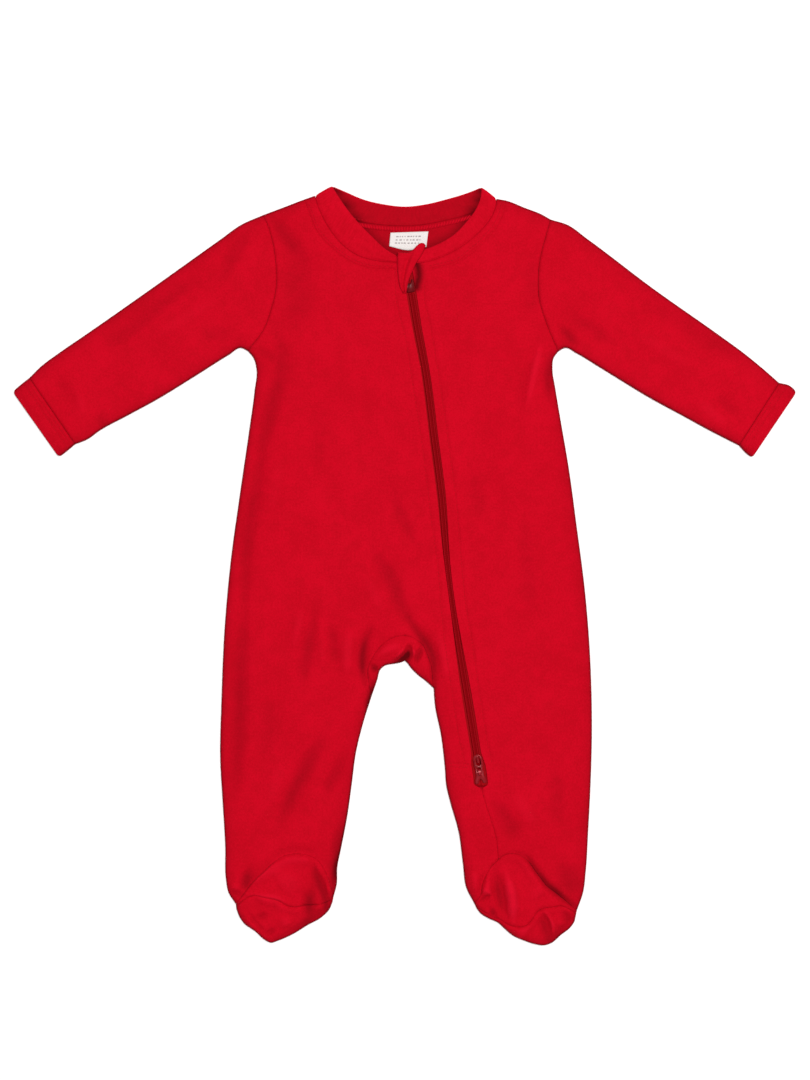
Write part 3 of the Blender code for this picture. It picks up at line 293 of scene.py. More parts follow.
# Folds of the front: rise (a trough is below zero), how far it reaches to the left and to
# the right of its line in millimetres, and the points of that line
folds = [
    # sleeves and shoulders
    (-1.1, 5, 6, [(-121, 272), (-129, 259), (-138, 245), (-146, 230)]),
    (-1.0, 5, 9, [(-143, 232), (-171, 223), (-188, 213), (-206, 197), (-228, 181),
                  (-256, 168)]),
    (0.7, 7, 6, [(-131, 222), (-170, 201), (-212, 174)]),
    (-1.3, 5, 6, [(-109, 282), (-99, 269), (-89, 255), (-79, 244)]),
    (-0.8, 3, 4, [(-119, 172), (-110, 169), (-102, 163)]),
    (-0.8, 5, 7, [(-136, 180), (-150, 184), (-166, 180)]),
    (0.8, 6, 7, [(-271, 152), (-262, 134), (-250, 116)]),
    (-0.9, 4, 6, [(-279, 150), (-270, 140), (-262, 128)]),
    (-0.8, 5, 5, [(-250, 124), (-241, 114), (-238, 106)]),
    (-0.7, 7, 7, [(169, 221), (230, 186), (286, 150)]),
    (0.7, 6, 7, [(170, 196), (205, 174), (240, 152)]),
    (0.9, 6, 7, [(229, 136), (246, 122), (263, 108)]),
    (-0.9, 5, 5, [(247, 138), (258, 126), (266, 116)]),
    (1.4, 3.4, 3.4, [(110, 186), (107.6, 170), (103, 152), (99, 134), (96, 118)]),
    (-0.7, 6, 5, [(98, 162), (93, 140), (89, 118)]),
    (-1.7, 3, 3, [(118.6, 172), (115.6, 160), (114.6, 148), (116, 130)]),
    (-1.8, 3, 3, [(124, 191), (131, 184), (138, 176)]),
    (-0.9, 5, 7, [(122, 204), (140, 196), (158, 184), (174, 172)]),
    # body
    (-0.9, 12, 18, [(-90, 262), (-84, 225), (-92, 176)]),
    (-0.7, 9, 8, [(105, 262), (102, 228), (106, 188)]),
    (-1.4, 6, 6, [(-105, 192), (-98.6, 172), (-98, 156), (-104, 134), (-110, 110), (-115.6, 80)]),
    (-1.4, 5, 5, [(-113, 100), (-117, 68), (-122, 42), (-126, 15), (-127.4, -25)]),
    (-0.8, 4, 5, [(-97, 50), (-104, 36), (-112, 20)]),
    (0.6, 8, 9, [(-98, 110), (-103, 60), (-108, 10)]),
    (-1.0, 4, 5, [(-12, 66), (-6, 48), (2, 30), (10, 12)]),
    (-0.5, 9, 9, [(-62, 150), (-70, 100), (-66, 60)]),
    (-0.7, 6, 7, [(52, 80), (57, 56), (62, 32)]),
    (-0.7, 7, 8, [(91, 62), (97, 10), (102, -52)]),
    (0.5, 9, 9, [(78, 120), (84, 70), (86, 20)]),
    # hips and crotch
    (-1.4, 5, 6, [(-29, 18), (-20, 4), (-10, -12), (-2, -33), (8, -51)]),
    (0.7, 6, 6, [(-34, 0), (-22, -26), (-15, -44)]),
    (-3.2, 3, 3.2, [(-27, -50), (-31.4, -62), (-33.4, -74), (-33, -86), (-31.6, -95)]),
    (1.0, 4, 6, [(-42, -46), (-45, -68), (-45, -92)]),
    (-1.2, 4, 5, [(-60, -44), (-57, -62), (-53, -84)]),
    (0.7, 4, 4, [(-66, -48), (-65, -66), (-64, -84)]),
    (-1.4, 4, 6, [(-71, -32), (-74.6, -56), (-78, -76), (-83, -100)]),
    (0.9, 5, 5, [(-81, -28), (-84, -48), (-88, -72)]),
    (-2.9, 2.8, 3.2, [(3, -42), (11.5, -54.5), (19.4, -64), (23.4, -75), (24.2, -88),
                      (24.4, -98)]),
    (0.9, 4, 5, [(20, -46), (29, -60), (33, -78), (35, -98)]),
    # gusset
    (1.2, 3, 4, [(-22, -74), (-14, -67), (-6, -64), (0, -62.5)]),
    (-6.5, 2.4, 2.4, [(-7, -77), (-1, -75), (2.6, -72), (3.4, -69), (3.8, -66)]),
    (1.5, 1.7, 1.7, [(-8, -73.5), (-4.5, -71), (-1.2, -67.5), (0.8, -64.5)]),
    (1.5, 1.7, 2, [(6.6, -65), (7.6, -69), (7.4, -74)]),
    (-2.4, 1.7, 1.7, [(14.4, -63.5), (13, -68), (11, -73), (9, -78.5)]),
    (-2.7, 1.8, 2, [(-27, -80.4), (-24, -82), (-20.6, -83.6)]),
    (0.8, 1.4, 1.6, [(-27, -88.5), (-23, -90.5), (-21.5, -90)]),
    (-2.8, 2, 2, [(-23.6, -90), (-25.6, -97), (-28, -106), (-31.6, -118)]),
    # legs
    (-1.5, 5, 6, [(-127, -12), (-128.6, -50), (-130, -78), (-131.4, -132), (-134, -165),
                  (-138, -200)]),
    (-0.7, 10, 10, [(-106, -98), (-108, -130), (-112, -162)]),
    (-1.7, 6, 6, [(-61, -128), (-70, -145), (-82, -168), (-92, -188), (-103, -214)]),
    (0.7, 9, 8, [(-97, -146), (-102, -172), (-107, -198)]),
    (-1.2, 4, 4, [(-48, -150), (-54, -163), (-60, -176), (-65, -189)]),
    (-1.2, 6, 7, [(68, -182), (78, -198), (87, -212), (95, -224)]),
    (0.8, 7, 6, [(84, -176), (97, -196), (108, -212)]),
    (-0.8, 6, 6, [(118, -150), (122, -184), (121, -216)]),
    (-1.7, 2.5, 7, [(103, -240), (112, -252), (122, -261), (134, -270)]),
    (1.2, 4, 4.4, [(54, -240), (55.5, -252), (59, -261)]),
    (-1.5, 6, 4, [(-49, -200), (-53, -220), (-56, -240), (-58, -256)]),
    (-1.0, 3, 3, [(49, -236), (51, -250), (54, -262)]),
    (-1.9, 1.6, 2, moved(coarse(legInner["right"]), -1.4)),
    (-0.9, 1.6, 2, moved(coarse(legInner["left"]), 1.4)),
]

# Folds of the feet, in the same form
footFolds = [
    # right
    (-1.1, 2, 2.6, [(-140, -259.6), (-134.6, -261.2), (-129, -263.6)]),
    (0.9, 2.5, 3.5, [(-139.4, -254.8), (-133.8, -256.4), (-129, -258.8)]),
    (-0.5, 4.4, 4.4, [(-126, -244), (-125, -258)]),
    (0.8, 12, 11, [(-89, -243), (-94, -252), (-101, -258)]),
    (1.1, 2.2, 3, [(-124.2, -262), (-113.8, -263.4), (-101, -265), (-92.2, -269.6)]),
    (-2.5, 4, 4.6, [(-72.6, -258), (-75.4, -267), (-75.8, -274), (-78, -282)]),
    (-1.3, 2.2, 2.2, [(-103, -298.6), (-85.6, -289.4), (-72.4, -280.6), (-64.6, -275.4),
                      (-59.8, -266.8), (-55.8, -255.6)]),
    (-2.0, 1.8, 2, [(-53, -230), (-55.2, -244), (-57.6, -258)]),
    (-2.2, 2.6, 3.4, [(-73.6, -236), (-70, -248), (-66, -257), (-63.4, -266), (-61, -277)]),
    (-1.6, 5, 3, [(-122, -240), (-126.6, -251), (-129, -263)]),
    (1.0, 1.2, 1.2, moved(coarse(instep["right"]), 1.2)[1:13]),
    (1.0, 2, 2.2, [(-62, -250), (-60, -260), (-60.8, -269.6)]),
    (-1.2, 4, 4, [(-115, -277), (-112.6, -283.6)]),
    (-1.2, 3, 3, [(-108, -290), (-105.6, -295)]),
    (0.9, 5, 5, [(-97, -279), (-93, -289)]),
    (0.8, 1.6, 2, [(-128.6, -277.4), (-120.6, -287.8), (-112, -296.2)]),
    (-0.9, 1.1, 1.3, [(-126, -275.6), (-118, -285.4), (-109.4, -294.6)]),
    # left
    (2.4, 3.4, 5, [(82, -246), (85.6, -262), (87.4, -284)]),
    (-1.9, 3.8, 3.6, [(72.4, -244), (75, -258), (78, -270), (80.4, -280)]),
    (1.0, 3, 2.6, [(66.2, -246), (67.2, -258), (71, -269)]),
    (1.1, 2.2, 2.4, [(62, -257), (65.4, -260), (68, -261)]),
    (-1.6, 1.3, 1.3, [(59, -268.4), (65, -265.6), (70.2, -262.8)]),
    (-1.9, 1.8, 2, [(68, -274), (70.4, -276.4), (73, -280)]),
    (0.7, 8, 8, [(103, -254), (110, -266)]),
    (-1.6, 4, 3.6, [(108, -277), (111, -284), (113, -293), (115.6, -299)]),
    (1.3, 1.4, 1.6, [(111.4, -275), (116.6, -282), (119, -290), (118.4, -299)]),
    (0.5, 5, 5, [(123.6, -281), (123.8, -289)]),
    (-1.1, 3, 3, [(126, -274), (129, -280), (129.4, -287)]),
    (-1.3, 3, 3, [(108, -300), (118, -298), (125, -292), (131, -284)]),
    (0.7, 6, 6, [(90, -291), (98, -296)]),
    # along the seams
    (0.8, 2.4, 3.4, moved(coarse(instep["right"]), 4)[2:-2]),
    (0.8, 2.4, 3.4, moved(coarse(instep["outer"]), 4)[1:-2]),
    (-0.8, 2.2, 2, moved(coarse(instep["right"]), -3)[3:-4]),
    (-1.7, 1.5, 2.2, moved(coarse(instep["outer"]), -1.8)[3:]),
    (-1.0, 2, 2, moved(coarse(instep["left"]), -1.6)[1:-3]),
    (-1.3, 8, 8, [(125, -236), (131, -250), (134, -266)]),
    (0.5, 2.4, 2.6, moved(coarse(toeSeam["left"]), 3)[1:-1]),
    (0.5, 2.4, 2.6, moved(coarse(toeSeam["right"]), 3.4)[2:-3]),
]

# Seams of the front that show: a groove, and the allowance under one side of it
seams = {
    "armholeRight": curve(armhole["right"]), "armholeLeft": curve(armhole["left"]),
    "neckRight": curve(neckSeam["right"]), "neckLeft": curve(neckSeam["left"]),
    "gussetRight": curve(gussetArc["right"]), "gussetLeft": curve(gussetArc["left"]),
    "instepRight": curve(instep["right"]),
    "instepLeft": joined(curve(instep["left"]), curve(instep["outer"])),
    "toeRight": curve(toeSeam["right"]), "toeLeft": curve(toeSeam["left"]),
    "cuffRight": cuffLine("right"), "cuffLeft": cuffLine("left"),
    "belowZip": curve(seamBelowZip),
}
seamLook = {"groove": 0.95, "grooveHalf": 0.8, "swell": 0.3, "swellAt": 2.4, "swellHalf": 1.8,
            "pucker": 0.2, "ripple": {"size": 3.6, "slant": 0.35, "at": 2.4, "half": 2.6,
                                      "seed": 40}}
seamDepth = {"gussetRight": 0.4, "gussetLeft": 0.5, "neckRight": 0.6, "neckLeft": 0.6,
             "instepRight": 0.3, "instepLeft": 0.75, "toeRight": 0.65, "toeLeft": 0.65,
             "belowZip": 0.5}

cuff = {"wall": 1.5, "spacing": 1.7, "rise": 0.3, "riseOver": (0.3, 3),
        "stitchedAt": (2.8, 6.6), "corner": 2.6, "cornerPoints": 6, "mouthDrop": 1.35,
        "mouthReach": (0.5, 6.0), "edgeDrop": 0.6, "edgeRound": 0.9}

# Rows pressed into the cloth: depth and half width of the groove, and pucker beside it
rowLook = {"neck": (1.1, 0.65, 0.4), "zip": (0.65, 0.85, 0.2), "cuff": (0.35, 0.8, 0.1),
           "inseam": (0.35, 0.9, 0.1), "sideRight": (0.35, 1.1, 0.1),
           "sideLeft": (0.3, 1.1, 0.1)}
rowRipple = {"size": 4.1, "slant": 0.4, "at": 1.8, "half": 2.2, "seed": 70}
rows = {name: (curve(points), *rowLook["neck" if name.startswith("neck") else "zip"])
        for name, points in topstitch.items()}
for s, out in outwards.items():
    for by in cuff["stitchedAt"]:
        rows[f"cuff{s}{by}"] = (moved(cuffLine(s), out * by), *rowLook["cuff"])
# Rows beside an edge: its table, how far from it, which of its points and the look
edgeRows = {"inseamRight": (legInner["right"], -3.6, slice(None), "inseam"),
            "inseamLeft": (legInner["left"], 3.4, slice(None), "inseam"),
            "sideRight": (side["right"], 3.6, slice(12, -8), "sideRight"),
            "sideLeft": (side["left"], -3.4, slice(12, -8), "sideLeft")}
for name, (table, by, part, look) in edgeRows.items():
    rows[name] = (moved(curve(table)[part], by), *rowLook[look])
rowLines = [row[0] for row in rows.values()]


def foldRelief(points):
    height = np.zeros(len(points))
    body = [(rise * foldLook["gain"], *rest) for rise, *rest in folds]
    feet = [(rise * foldLook["footGain"], *rest) for rise, *rest in footFolds]
    least, narrowest = foldLook["end"], foldLook["width"][0]
    for rise, left, right, line in body + feet:
        line = coarse(line)
        start, last = line[1] - line[0], line[-1] - line[-2]
        away, along, lean = beside(points, line, foldLook["reach"])
        inFront = np.clip(-(points - line[0]) @ start / np.linalg.norm(start), 0, None)
        behind = np.clip((points - line[-1]) @ last / np.linalg.norm(last), 0, None)
        beyond = inFront + behind
        across = np.sqrt(np.clip(away**2 - beyond**2, 0, None))
        share = along / np.linalg.norm(np.diff(line, axis=0), axis=1).sum()
        fade = least + (1 - least) * ramp(share, 0, foldLook["fadeIn"]) * ramp(
            1 - share, 0, foldLook["fadeOut"])
        half = np.where(lean > 0, right, left) * (narrowest + foldLook["width"][1] * fade)
        height += np.where(away < foldLook["cutOff"], rise * fade * bell(across, half) * bell(
            beyond, (left + right) / 2), 0)
    return height


# Uneven ripples on both sides of a line
def rippled(height, found, look, number):
    away, along, lean = found
    place = np.column_stack([along, look["slant"] * away * lean])
    return height * waves(place, look["size"], look["seed"] + number) * bell(
        away - look["at"], look["half"])


def seamRelief(points):
    height = np.zeros(len(points))
    for number, (name, line) in enumerate(seams.items()):
        found = beside(points, line, tracing["seamReach"])
        away = found[0]
        height -= seamLook["groove"] * seamDepth.get(name, 1) * bell(away,
                                                                     seamLook["grooveHalf"])
        height += seamLook["swell"] * bell(away - seamLook["swellAt"], seamLook["swellHalf"])
        height += rippled(seamLook["pucker"], found, seamLook["ripple"], number)
    for number, (line, depth, half, pucker) in enumerate(rows.values()):
        found = beside(points, line, tracing["seamReach"])
        height -= depth * bell(found[0], half)
        height += rippled(pucker, found, rowRipple, number)
    return height


# Painted shade where cloth turns under or sinks: per millimetre of a trough, at a turned edge
# (strength and reach), in the opening of the neck and beside the garage; a crest gets a little
# painted highlight
paintedLight = {"trough": 0.125, "from": 0.4, "edge": (0.6, 1.3), "rim": (0.15, 7), "neck": (0.85, 4.6),
          "neckLeast": 0.45, "neckRows": (262, 286), "paintedHighlight": 0.24, "crestFrom": 0.7,
          "crestMost": 2, "palest": -0.6, "deepest": 0.93, "garage": (0.93, 3.4),
          "garageLine": [(8, 244.5), (11, 238), (11.6, 231), (9.6, 222)]}


def paintedShading(relief, away):
    paintedShade = paintedLight["trough"] * np.clip(-relief - paintedLight["from"], 0, None)
    paintedShade -= paintedLight["paintedHighlight"] * np.clip(relief - paintedLight["crestFrom"], 0, paintedLight["crestMost"])
    for strength, reach in (paintedLight["edge"], paintedLight["rim"]):
        paintedShade = paintedShade + strength * bell(away, reach)
    return np.clip(paintedShade, paintedLight["palest"], paintedLight["deepest"])


# Painted shadow beside the garage, on the cloth and band next to it
def garageShade(points):
    strength, reach = paintedLight["garage"]
    return strength * bell(beside(points, curve(paintedLight["garageLine"]))[0], reach)


# Painted shade under the front of the neck, on what is seen through the opening
def neckShade(points):
    strength, reach = paintedLight["neck"]
    least = paintedLight["neckLeast"]
    away = beside(points, joined(curve(neckEdge["right"]), curve(neckEdge["left"])[::-1]))[0]
    neckShadeShare = least + (1 - least) * ramp(points[:, 1], *paintedLight["neckRows"])
    return strength * bell(away, reach) * neckShadeShare


# Level of the front's outer face, and the painted shade and highlight on it
def frontForm(points):
    away = fromRuns(points, outlineRuns + crotchRuns)
    rolled = cloth["seamLevel"] + cloth["frontRise"] * quarterRound(away, cloth["roll"])
    soft = waved(points, cloth["softWave"]) + waved(points, cloth["broadWave"])
    relief = foldRelief(points)
    form = relief + slot["hemRise"] * hemShare(points) + soft
    level = np.maximum(rolled + form * quarterRound(away, cloth["formFade"]),
                       np.minimum(rolled, cloth["lowest"]))
    level = level + seamRelief(points) * np.clip(away / cloth["seamFade"], 0, 1)
    shade = np.minimum(paintedShading(relief, away) + garageShade(points), paintedLight["deepest"])
    return np.where(away < cloth["rim"], cloth["seamLevel"] + cloth["rimLift"], level), shade


def backHeight(points):
    away = fromRuns(points, outlineRuns)
    level = cloth["seamLevel"] * (1 - quarterRound(away, cloth["backRoll"]))
    soft = np.abs(waved(points, cloth["underWave"])) * ramp(away, *cloth["underFade"])
    return np.where(away < cloth["rim"], cloth["seamLevel"] - cloth["rimLift"], level + soft)


# How a sheet is filled with points: rings inside its edge, rows beside a pressed line, and a
# grid that keeps clear of both by these shares of its spacing
meshing = {"spacing": 2.3, "rowsApart": 0.866, "rings": (0.45, 1.1, 2.0), "ringClear": 0.9,
           "besideLine": (-1.5, -0.7, 0, 0.7, 1.5), "lineGap": 0.35, "lineClear": 0.4,
           "gridClear": 0.45, "leastEdge": 0.02, "leastTurn": 1e-7, "leastArea": 1e-9,
           "weld": 1e-5, "sameDigits": 3, "tiny": 1e-12}


def gridWithin(low, high, spacing):
    made = []
    for k, y in enumerate(np.arange(low[1], high[1], spacing * meshing["rowsApart"])):
        x = np.arange(low[0] + (k % 2) * spacing / 2, high[0], spacing)
        made.append(np.column_stack([x, np.full(len(x), y)]))
    return np.concatenate(made)


def insideOf(points, ring):
    inside = np.zeros(len(points), bool)
    for a, b in zip(ring[:-1], ring[1:]):
        crosses = (a[1] > points[:, 1]) != (b[1] > points[:, 1])
        if crosses.any():
            rise = b[1] - a[1] + meshing["tiny"]
            x = a[0] + (points[:, 1] - a[1]) / rise * (b[0] - a[0])
            inside ^= crosses & (points[:, 0] < x)
    return inside


# Triangles that fill a closed loop of points
def filled(loop, spacing=meshing["spacing"], lines=()):
    near = tracing["nearReach"]
    loop = loop[np.linalg.norm(loop - np.roll(loop, 1, axis=0), axis=1) > meshing["leastEdge"]]
    follow = np.roll(loop, -1, axis=0)
    if ((follow[:, 0] - loop[:, 0]) * (follow[:, 1] + loop[:, 1])).sum() > 0:
        loop = loop[::-1]
    ring = np.concatenate([loop, loop[:1]])
    along = np.roll(loop, -1, axis=0) - np.roll(loop, 1, axis=0)
    along /= np.linalg.norm(along, axis=1)[:, None]
    inwards = np.column_stack([-along[:, 1], along[:, 0]])
    inner = []
    for row in meshing["rings"]:
        points = loop + row * inwards
        inner.append(points[beside(points, ring, near)[0] > row * meshing["ringClear"]])
    last = meshing["rings"][-1]
    grid = gridWithin(loop.min(axis=0), loop.max(axis=0), spacing)
    free = beside(grid, ring, near)[0] > last + spacing * meshing["gridClear"]
    for line in lines:
        for by in meshing["besideLine"]:
            points = moved(line, by)
            inner.append(points[beside(points, ring, near)[0] > last + meshing["lineGap"]])
        clear = meshing["besideLine"][-1] + spacing * meshing["lineClear"]
        free &= beside(grid, line, near)[0] > clear
    points = np.concatenate(inner + [grid[free]])
    given = np.concatenate([loop, points[insideOf(points, ring)]])
    made = delaunay_2d_cdt(given.tolist(), [], [list(range(len(loop)))], 1, meshing["weld"])
    flat = np.array([tuple(v) for v in made[0]])
    faces = np.array([tuple(f) for f in made[2] if len(f) == 3])
    a, b, c = flat[faces[:, 0]], flat[faces[:, 1]], flat[faces[:, 2]]
    turn = (b - a)[:, 0] * (c - a)[:, 1] - (b - a)[:, 1] * (c - a)[:, 0]
    faces = faces[np.abs(turn) > meshing["leastTurn"]]
    turn = turn[np.abs(turn) > meshing["leastTurn"]]
    faces[turn < 0] = faces[turn < 0][:, ::-1]
    return flat, faces


# Several sheets of points and faces as one, joined where their places are the same
def merged(*sheets):
    points = np.concatenate([sheet[0] for sheet in sheets])
    starts = np.cumsum([0] + [len(sheet[0]) for sheet in sheets])
    faces = np.concatenate([sheet[1] + start for sheet, start in zip(sheets, starts)])
    places = np.round(points[:, :3], meshing["sameDigits"])
    _, first, index = np.unique(places, axis=0, return_index=True, return_inverse=True)
    return points[first], index.reshape(-1)[faces]


def normalsOf(points, faces):
    corners = [points[faces[:, k]] for k in range(3)]
    area = np.cross(corners[1] - corners[0], corners[2] - corners[0])
    normal = np.zeros_like(points)
    for k in range(3):
        np.add.at(normal, faces[:, k], area)
    size = np.linalg.norm(normal, axis=1)
    return normal / np.maximum(size, meshing["leastArea"])[:, None]


def freeEdges(faces):
    ends = np.concatenate([faces[:, [0, 1]], faces[:, [1, 2]], faces[:, [2, 0]]])
    count = faces.max() + 1
    forward = ends[:, 0] * count + ends[:, 1]
    backward = ends[:, 1] * count + ends[:, 0]
    return ends[~np.isin(forward, backward)]


def placed(name, data):
    made = bpy.data.objects.new(name, data)
    bpy.context.scene.collection.objects.link(made)
    return made


def addMesh(name, points, faces, grain=None, smooth=True, shadedInside=(), shade=None):
    mesh = bpy.data.meshes.new(name)
    mesh.from_pydata((np.asarray(points) * mm).tolist(), [], [tuple(f) for f in faces])
    if smooth:
        mesh.shade_smooth()
    # Faces listed here take the second material, a darker copy of the cloth: painted shade
    for k in shadedInside:
        mesh.polygons[k].material_index = 1
    if grain is not None:
        layer = mesh.uv_layers.new(name="grain")
        corner = np.empty(len(mesh.loops), int)
        mesh.loops.foreach_get("vertex_index", corner)
        layer.data.foreach_set("uv", (np.asarray(grain)[corner] * mm).ravel())
    # The painted shade and highlight, kept on each point for the knit shader
    if shade is not None:
        painted = mesh.attributes.new("paintedLight", "FLOAT", "POINT")
        painted.data.foreach_set("value", np.asarray(shade, np.float32))
    return placed(name, mesh)


# A closed wall of cloth under an outer sheet of places, with their painted shade and highlight
# as a fourth column, and inside the painted shade of its inner sheet; grain is the direction of
# its knit
def clothWall(name, outer, faces, wall, lowest=None, highest=None, grain=0.0, inside=None):
    if outer.shape[1] < 4:
        outer = np.column_stack([outer, np.zeros(len(outer))])
    outer, painted = outer[:, :3], outer[:, 3]
    shade = np.concatenate([painted, 0 * painted if inside is None else inside])
    inner = outer - wall * normalsOf(outer, faces)
    least = cloth["leastWall"]
    if lowest is not None:
        inner[:, 2] = np.maximum(inner[:, 2], np.minimum(lowest, outer[:, 2] - least))
    if highest is not None:
        inner[:, 2] = np.minimum(inner[:, 2], np.maximum(highest, outer[:, 2] + least))
    count = len(outer)
    rim = freeEdges(faces)
    sides = np.column_stack([rim[:, 1], rim[:, 0], rim[:, 0] + count, rim[:, 1] + count])
    every = faces.tolist() + (faces[:, ::-1] + count).tolist() + sides.tolist()
    points = np.concatenate([outer, inner])
    turn = np.array([[np.cos(grain), -np.sin(grain)], [np.sin(grain), np.cos(grain)]])
    return addMesh(name, points, every, points[:, :2] @ turn,
                   shadedInside=range(len(faces), 2 * len(faces)), shade=shade)


# The front: two pieces that the zip parts, the gusset between the legs and the foot uppers
gusset = {"spacing": 1.0}
foot = {"wall": 1.5, "upperSpacing": 1.4, "upperFloor": 1.8, "capSpacing": 1.4,
        "underSpacing": 1.9, "edge": 0.05}


def frontPiece(name, loop, wall=cloth["wall"], spacing=meshing["spacing"],
               lowest=cloth["frontFloor"], lines=()):
    flat, faces = filled(loop, spacing, lines)
    outer = np.column_stack([flat, *frontForm(flat)])
    return clothWall(name, outer, faces, wall, lowest=lowest)


def area(loop):
    x, y = loop.T
    return abs((x * np.roll(y, 1) - y * np.roll(x, 1)).sum()) / 2 * mm * mm


neckY = {s: neckSeam[s][-1][1] for s in bothSides}
footStep = tracing["footStep"]
loops = {
    "front_right": joined(
        curve(neckSeam["right"]), zipEdge(neckY["right"], -1), curve(seamBelowZip),
        curve(instep["left"])[::-1], curve(legInner["left"])[::-1],
        curve(gussetArc["left"])[::-1], curve(gussetArc["right"]), curve(legInner["right"]),
        curve(instep["right"])[::-1], curve(side["right"])[::-1],
        curve(armhole["right"])[::-1], curve(shoulder["right"])[::-1])[:-1],
    "front_left": joined(
        curve(neckSeam["left"]), zipEdge(neckY["left"], 1), curve(seamBelowZip),
        curve(instep["outer"]), curve(side["left"])[::-1], curve(armhole["left"])[::-1],
        curve(shoulder["left"])[::-1])[:-1],
    "gusset": joined(curve(gussetArc["right"]), curve(crotch["right"])[::-1],
                     curve(crotch["left"]), curve(gussetArc["left"])[::-1])[:-1],
    "foot_upper_right": joined(curve(instep["right"], footStep),
                               curve(toeSeam["right"], footStep)[::-1]),
    "foot_upper_left": joined(curve(instep["left"], footStep), curve(instep["outer"], footStep),
                              curve(toeSeam["left"], footStep)[::-1]),
}
pieces = {
    "front_right": frontPiece("frontRight", loops["front_right"], lines=rowLines),
    "front_left": frontPiece("frontLeft", loops["front_left"], lines=rowLines),
    "gusset": frontPiece("gusset", loops["gusset"], spacing=gusset["spacing"]),
}
for s in bothSides:
    pieces["foot_upper_" + s] = frontPiece("footUpper" + s.title(), loops["foot_upper_" + s],
                                           foot["wall"], foot["upperSpacing"],
                                           foot["upperFloor"])
print("front made")

# The back, one piece that lies on the floor
back = {"spacing": 2.8}
loops["back"] = joined(
    curve(backNeckSeam), curve(shoulder["left"]), curve(armhole["left"]), curve(side["left"]),
    straight(side["left"][-1], legInner["left"][-1]), curve(legInner["left"])[::-1],
    curve(crotch["left"])[::-1], curve(crotch["right"]), curve(legInner["right"]),
    straight(legInner["right"][-1], side["right"][-1]), curve(side["right"])[::-1],
    curve(armhole["right"])[::-1], curve(shoulder["right"])[::-1])[:-1]
flat, faces = filled(loops["back"], back["spacing"])
outer = np.column_stack([flat, backHeight(flat)])
# Its inner face, seen through the neck opening, takes painted shade
pieces["back"] = clothWall("back", outer, faces[:, ::-1], cloth["wall"],
                           highest=cloth["backCeiling"], inside=neckShade(flat))
print("back made")


# Runs that meet end to end, with each corner between them rounded by this size
def rounded(size, *runs):
    trimmed = []
    for k, run in enumerate(runs):
        keep = np.ones(len(run), bool)
        if k > 0:
            keep &= np.linalg.norm(run - run[0], axis=1) > size
        if k < len(runs) - 1:
            keep &= np.linalg.norm(run - run[-1], axis=1) > size
        trimmed.append(run[keep])
    made = [trimmed[0]]
    for before, after, corner in zip(trimmed[:-1], trimmed[1:], [run[-1] for run in runs]):
        t = np.linspace(0, 1, cuff["cornerPoints"])[1:-1, None]
        made.append((1 - t)**2 * before[-1] + 2 * t * (1 - t) * corner + t**2 * after[0])
        made.append(after)
    return np.concatenate(made)


# Sleeves and cuffs: flattened tubes, folded along their two long edges
def tube(name, loop, wall, grain, spacing=meshing["spacing"], rise=0.0, lines=(), mouth=None):
    flat, faces = filled(loop, spacing, lines)
    away = fromRuns(flat, outlineRuns)
    level, painted = frontForm(flat)
    level += rise * ramp(away, *cuff["riseOver"])
    under = backHeight(flat)
    folded = away < cloth["rim"]
    if mouth is not None:
        fromMouth = beside(flat, mouth)[0]
        level -= cuff["mouthDrop"] * (1 - ramp(fromMouth, *cuff["mouthReach"]))
        level -= cuff["edgeDrop"] * (1 - ramp(fromMouth, 0, cuff["edgeRound"]))
        folded &= fromMouth > cuff["corner"]
    level[folded] = under[folded] = cloth["seamLevel"]
    outer, every = merged((np.column_stack([flat, level, painted]), faces),
                          (np.column_stack([flat, under, 0 * painted]), faces[:, ::-1]))
    return clothWall(name, outer, every, wall, grain=grain)


# The angle at which a sleeve's knit runs
def sleeveLean(s):
    run = np.array(sleeveTop[s][-1], float) - sleeveTop[s][1]
    return np.arctan2(run[1], run[0]) - np.pi / 2


for s in bothSides:
    upper, lower, seam = curve(sleeveTop[s]), curve(sleeveLow[s]), cuffLine(s)
    loops["sleeve_" + s] = joined(curve(armhole[s]), lower, seam[::-1], upper[::-1])[:-1]
    pieces["sleeve_" + s] = tube("sleeve" + s.title(), loops["sleeve_" + s], cloth["wall"],
                                 sleeveLean(s))
    end = straight(cuffTop[s][-1], cuffLow[s][-1])
    low, top = curve(cuffLow[s]), curve(cuffTop[s])[::-1]
    loops["cuff_" + s] = joined(seam, rounded(cuff["corner"], low, end[::-1], top))[:-1]
    stitchedLines = [rows[f"cuff{s}{by}"][0] for by in cuff["stitchedAt"]]
    pieces["cuff_" + s] = tube("cuff" + s.title(), loops["cuff_" + s], cuff["wall"],
                               sleeveLean(s), cuff["spacing"], cuff["rise"], stitchedLines, end)
print("sleeves made")

# Soles: the toe cap in front and the sole below are one piece
for s in bothSides:
    heel = straight(side[s][-1], legInner[s][-1])
    if s == "left":
        heel = heel[::-1]
    toe, end = curve(toeSeam[s], footStep), curve(toeEnd[s], footStep)
    cap = joined(toe, straight(toe[-1], end[-1]), end[::-1], straight(end[0], toe[0]))[:-1]
    under = joined(heel, straight(heel[-1], end[-1]), end[::-1], straight(end[0], heel[0]))[:-1]
    loops["sole_" + s], loops["sole_under_" + s] = cap, under
    capFlat, capFaces = filled(cap, foot["capSpacing"])
    underFlat, underFaces = filled(under, foot["underSpacing"])
    (level, painted), low = frontForm(capFlat), backHeight(underFlat)
    level[beside(capFlat, end)[0] < foot["edge"]] = cloth["seamLevel"]
    low[beside(underFlat, end)[0] < foot["edge"]] = cloth["seamLevel"]
    outer, faces = merged((np.column_stack([capFlat, level, painted]), capFaces),
                          (np.column_stack([underFlat, low, 0 * low]), underFaces[:, ::-1]))
    pieces["sole_" + s] = clothWall("sole" + s.title(), outer, faces, foot["wall"])
print("feet made")


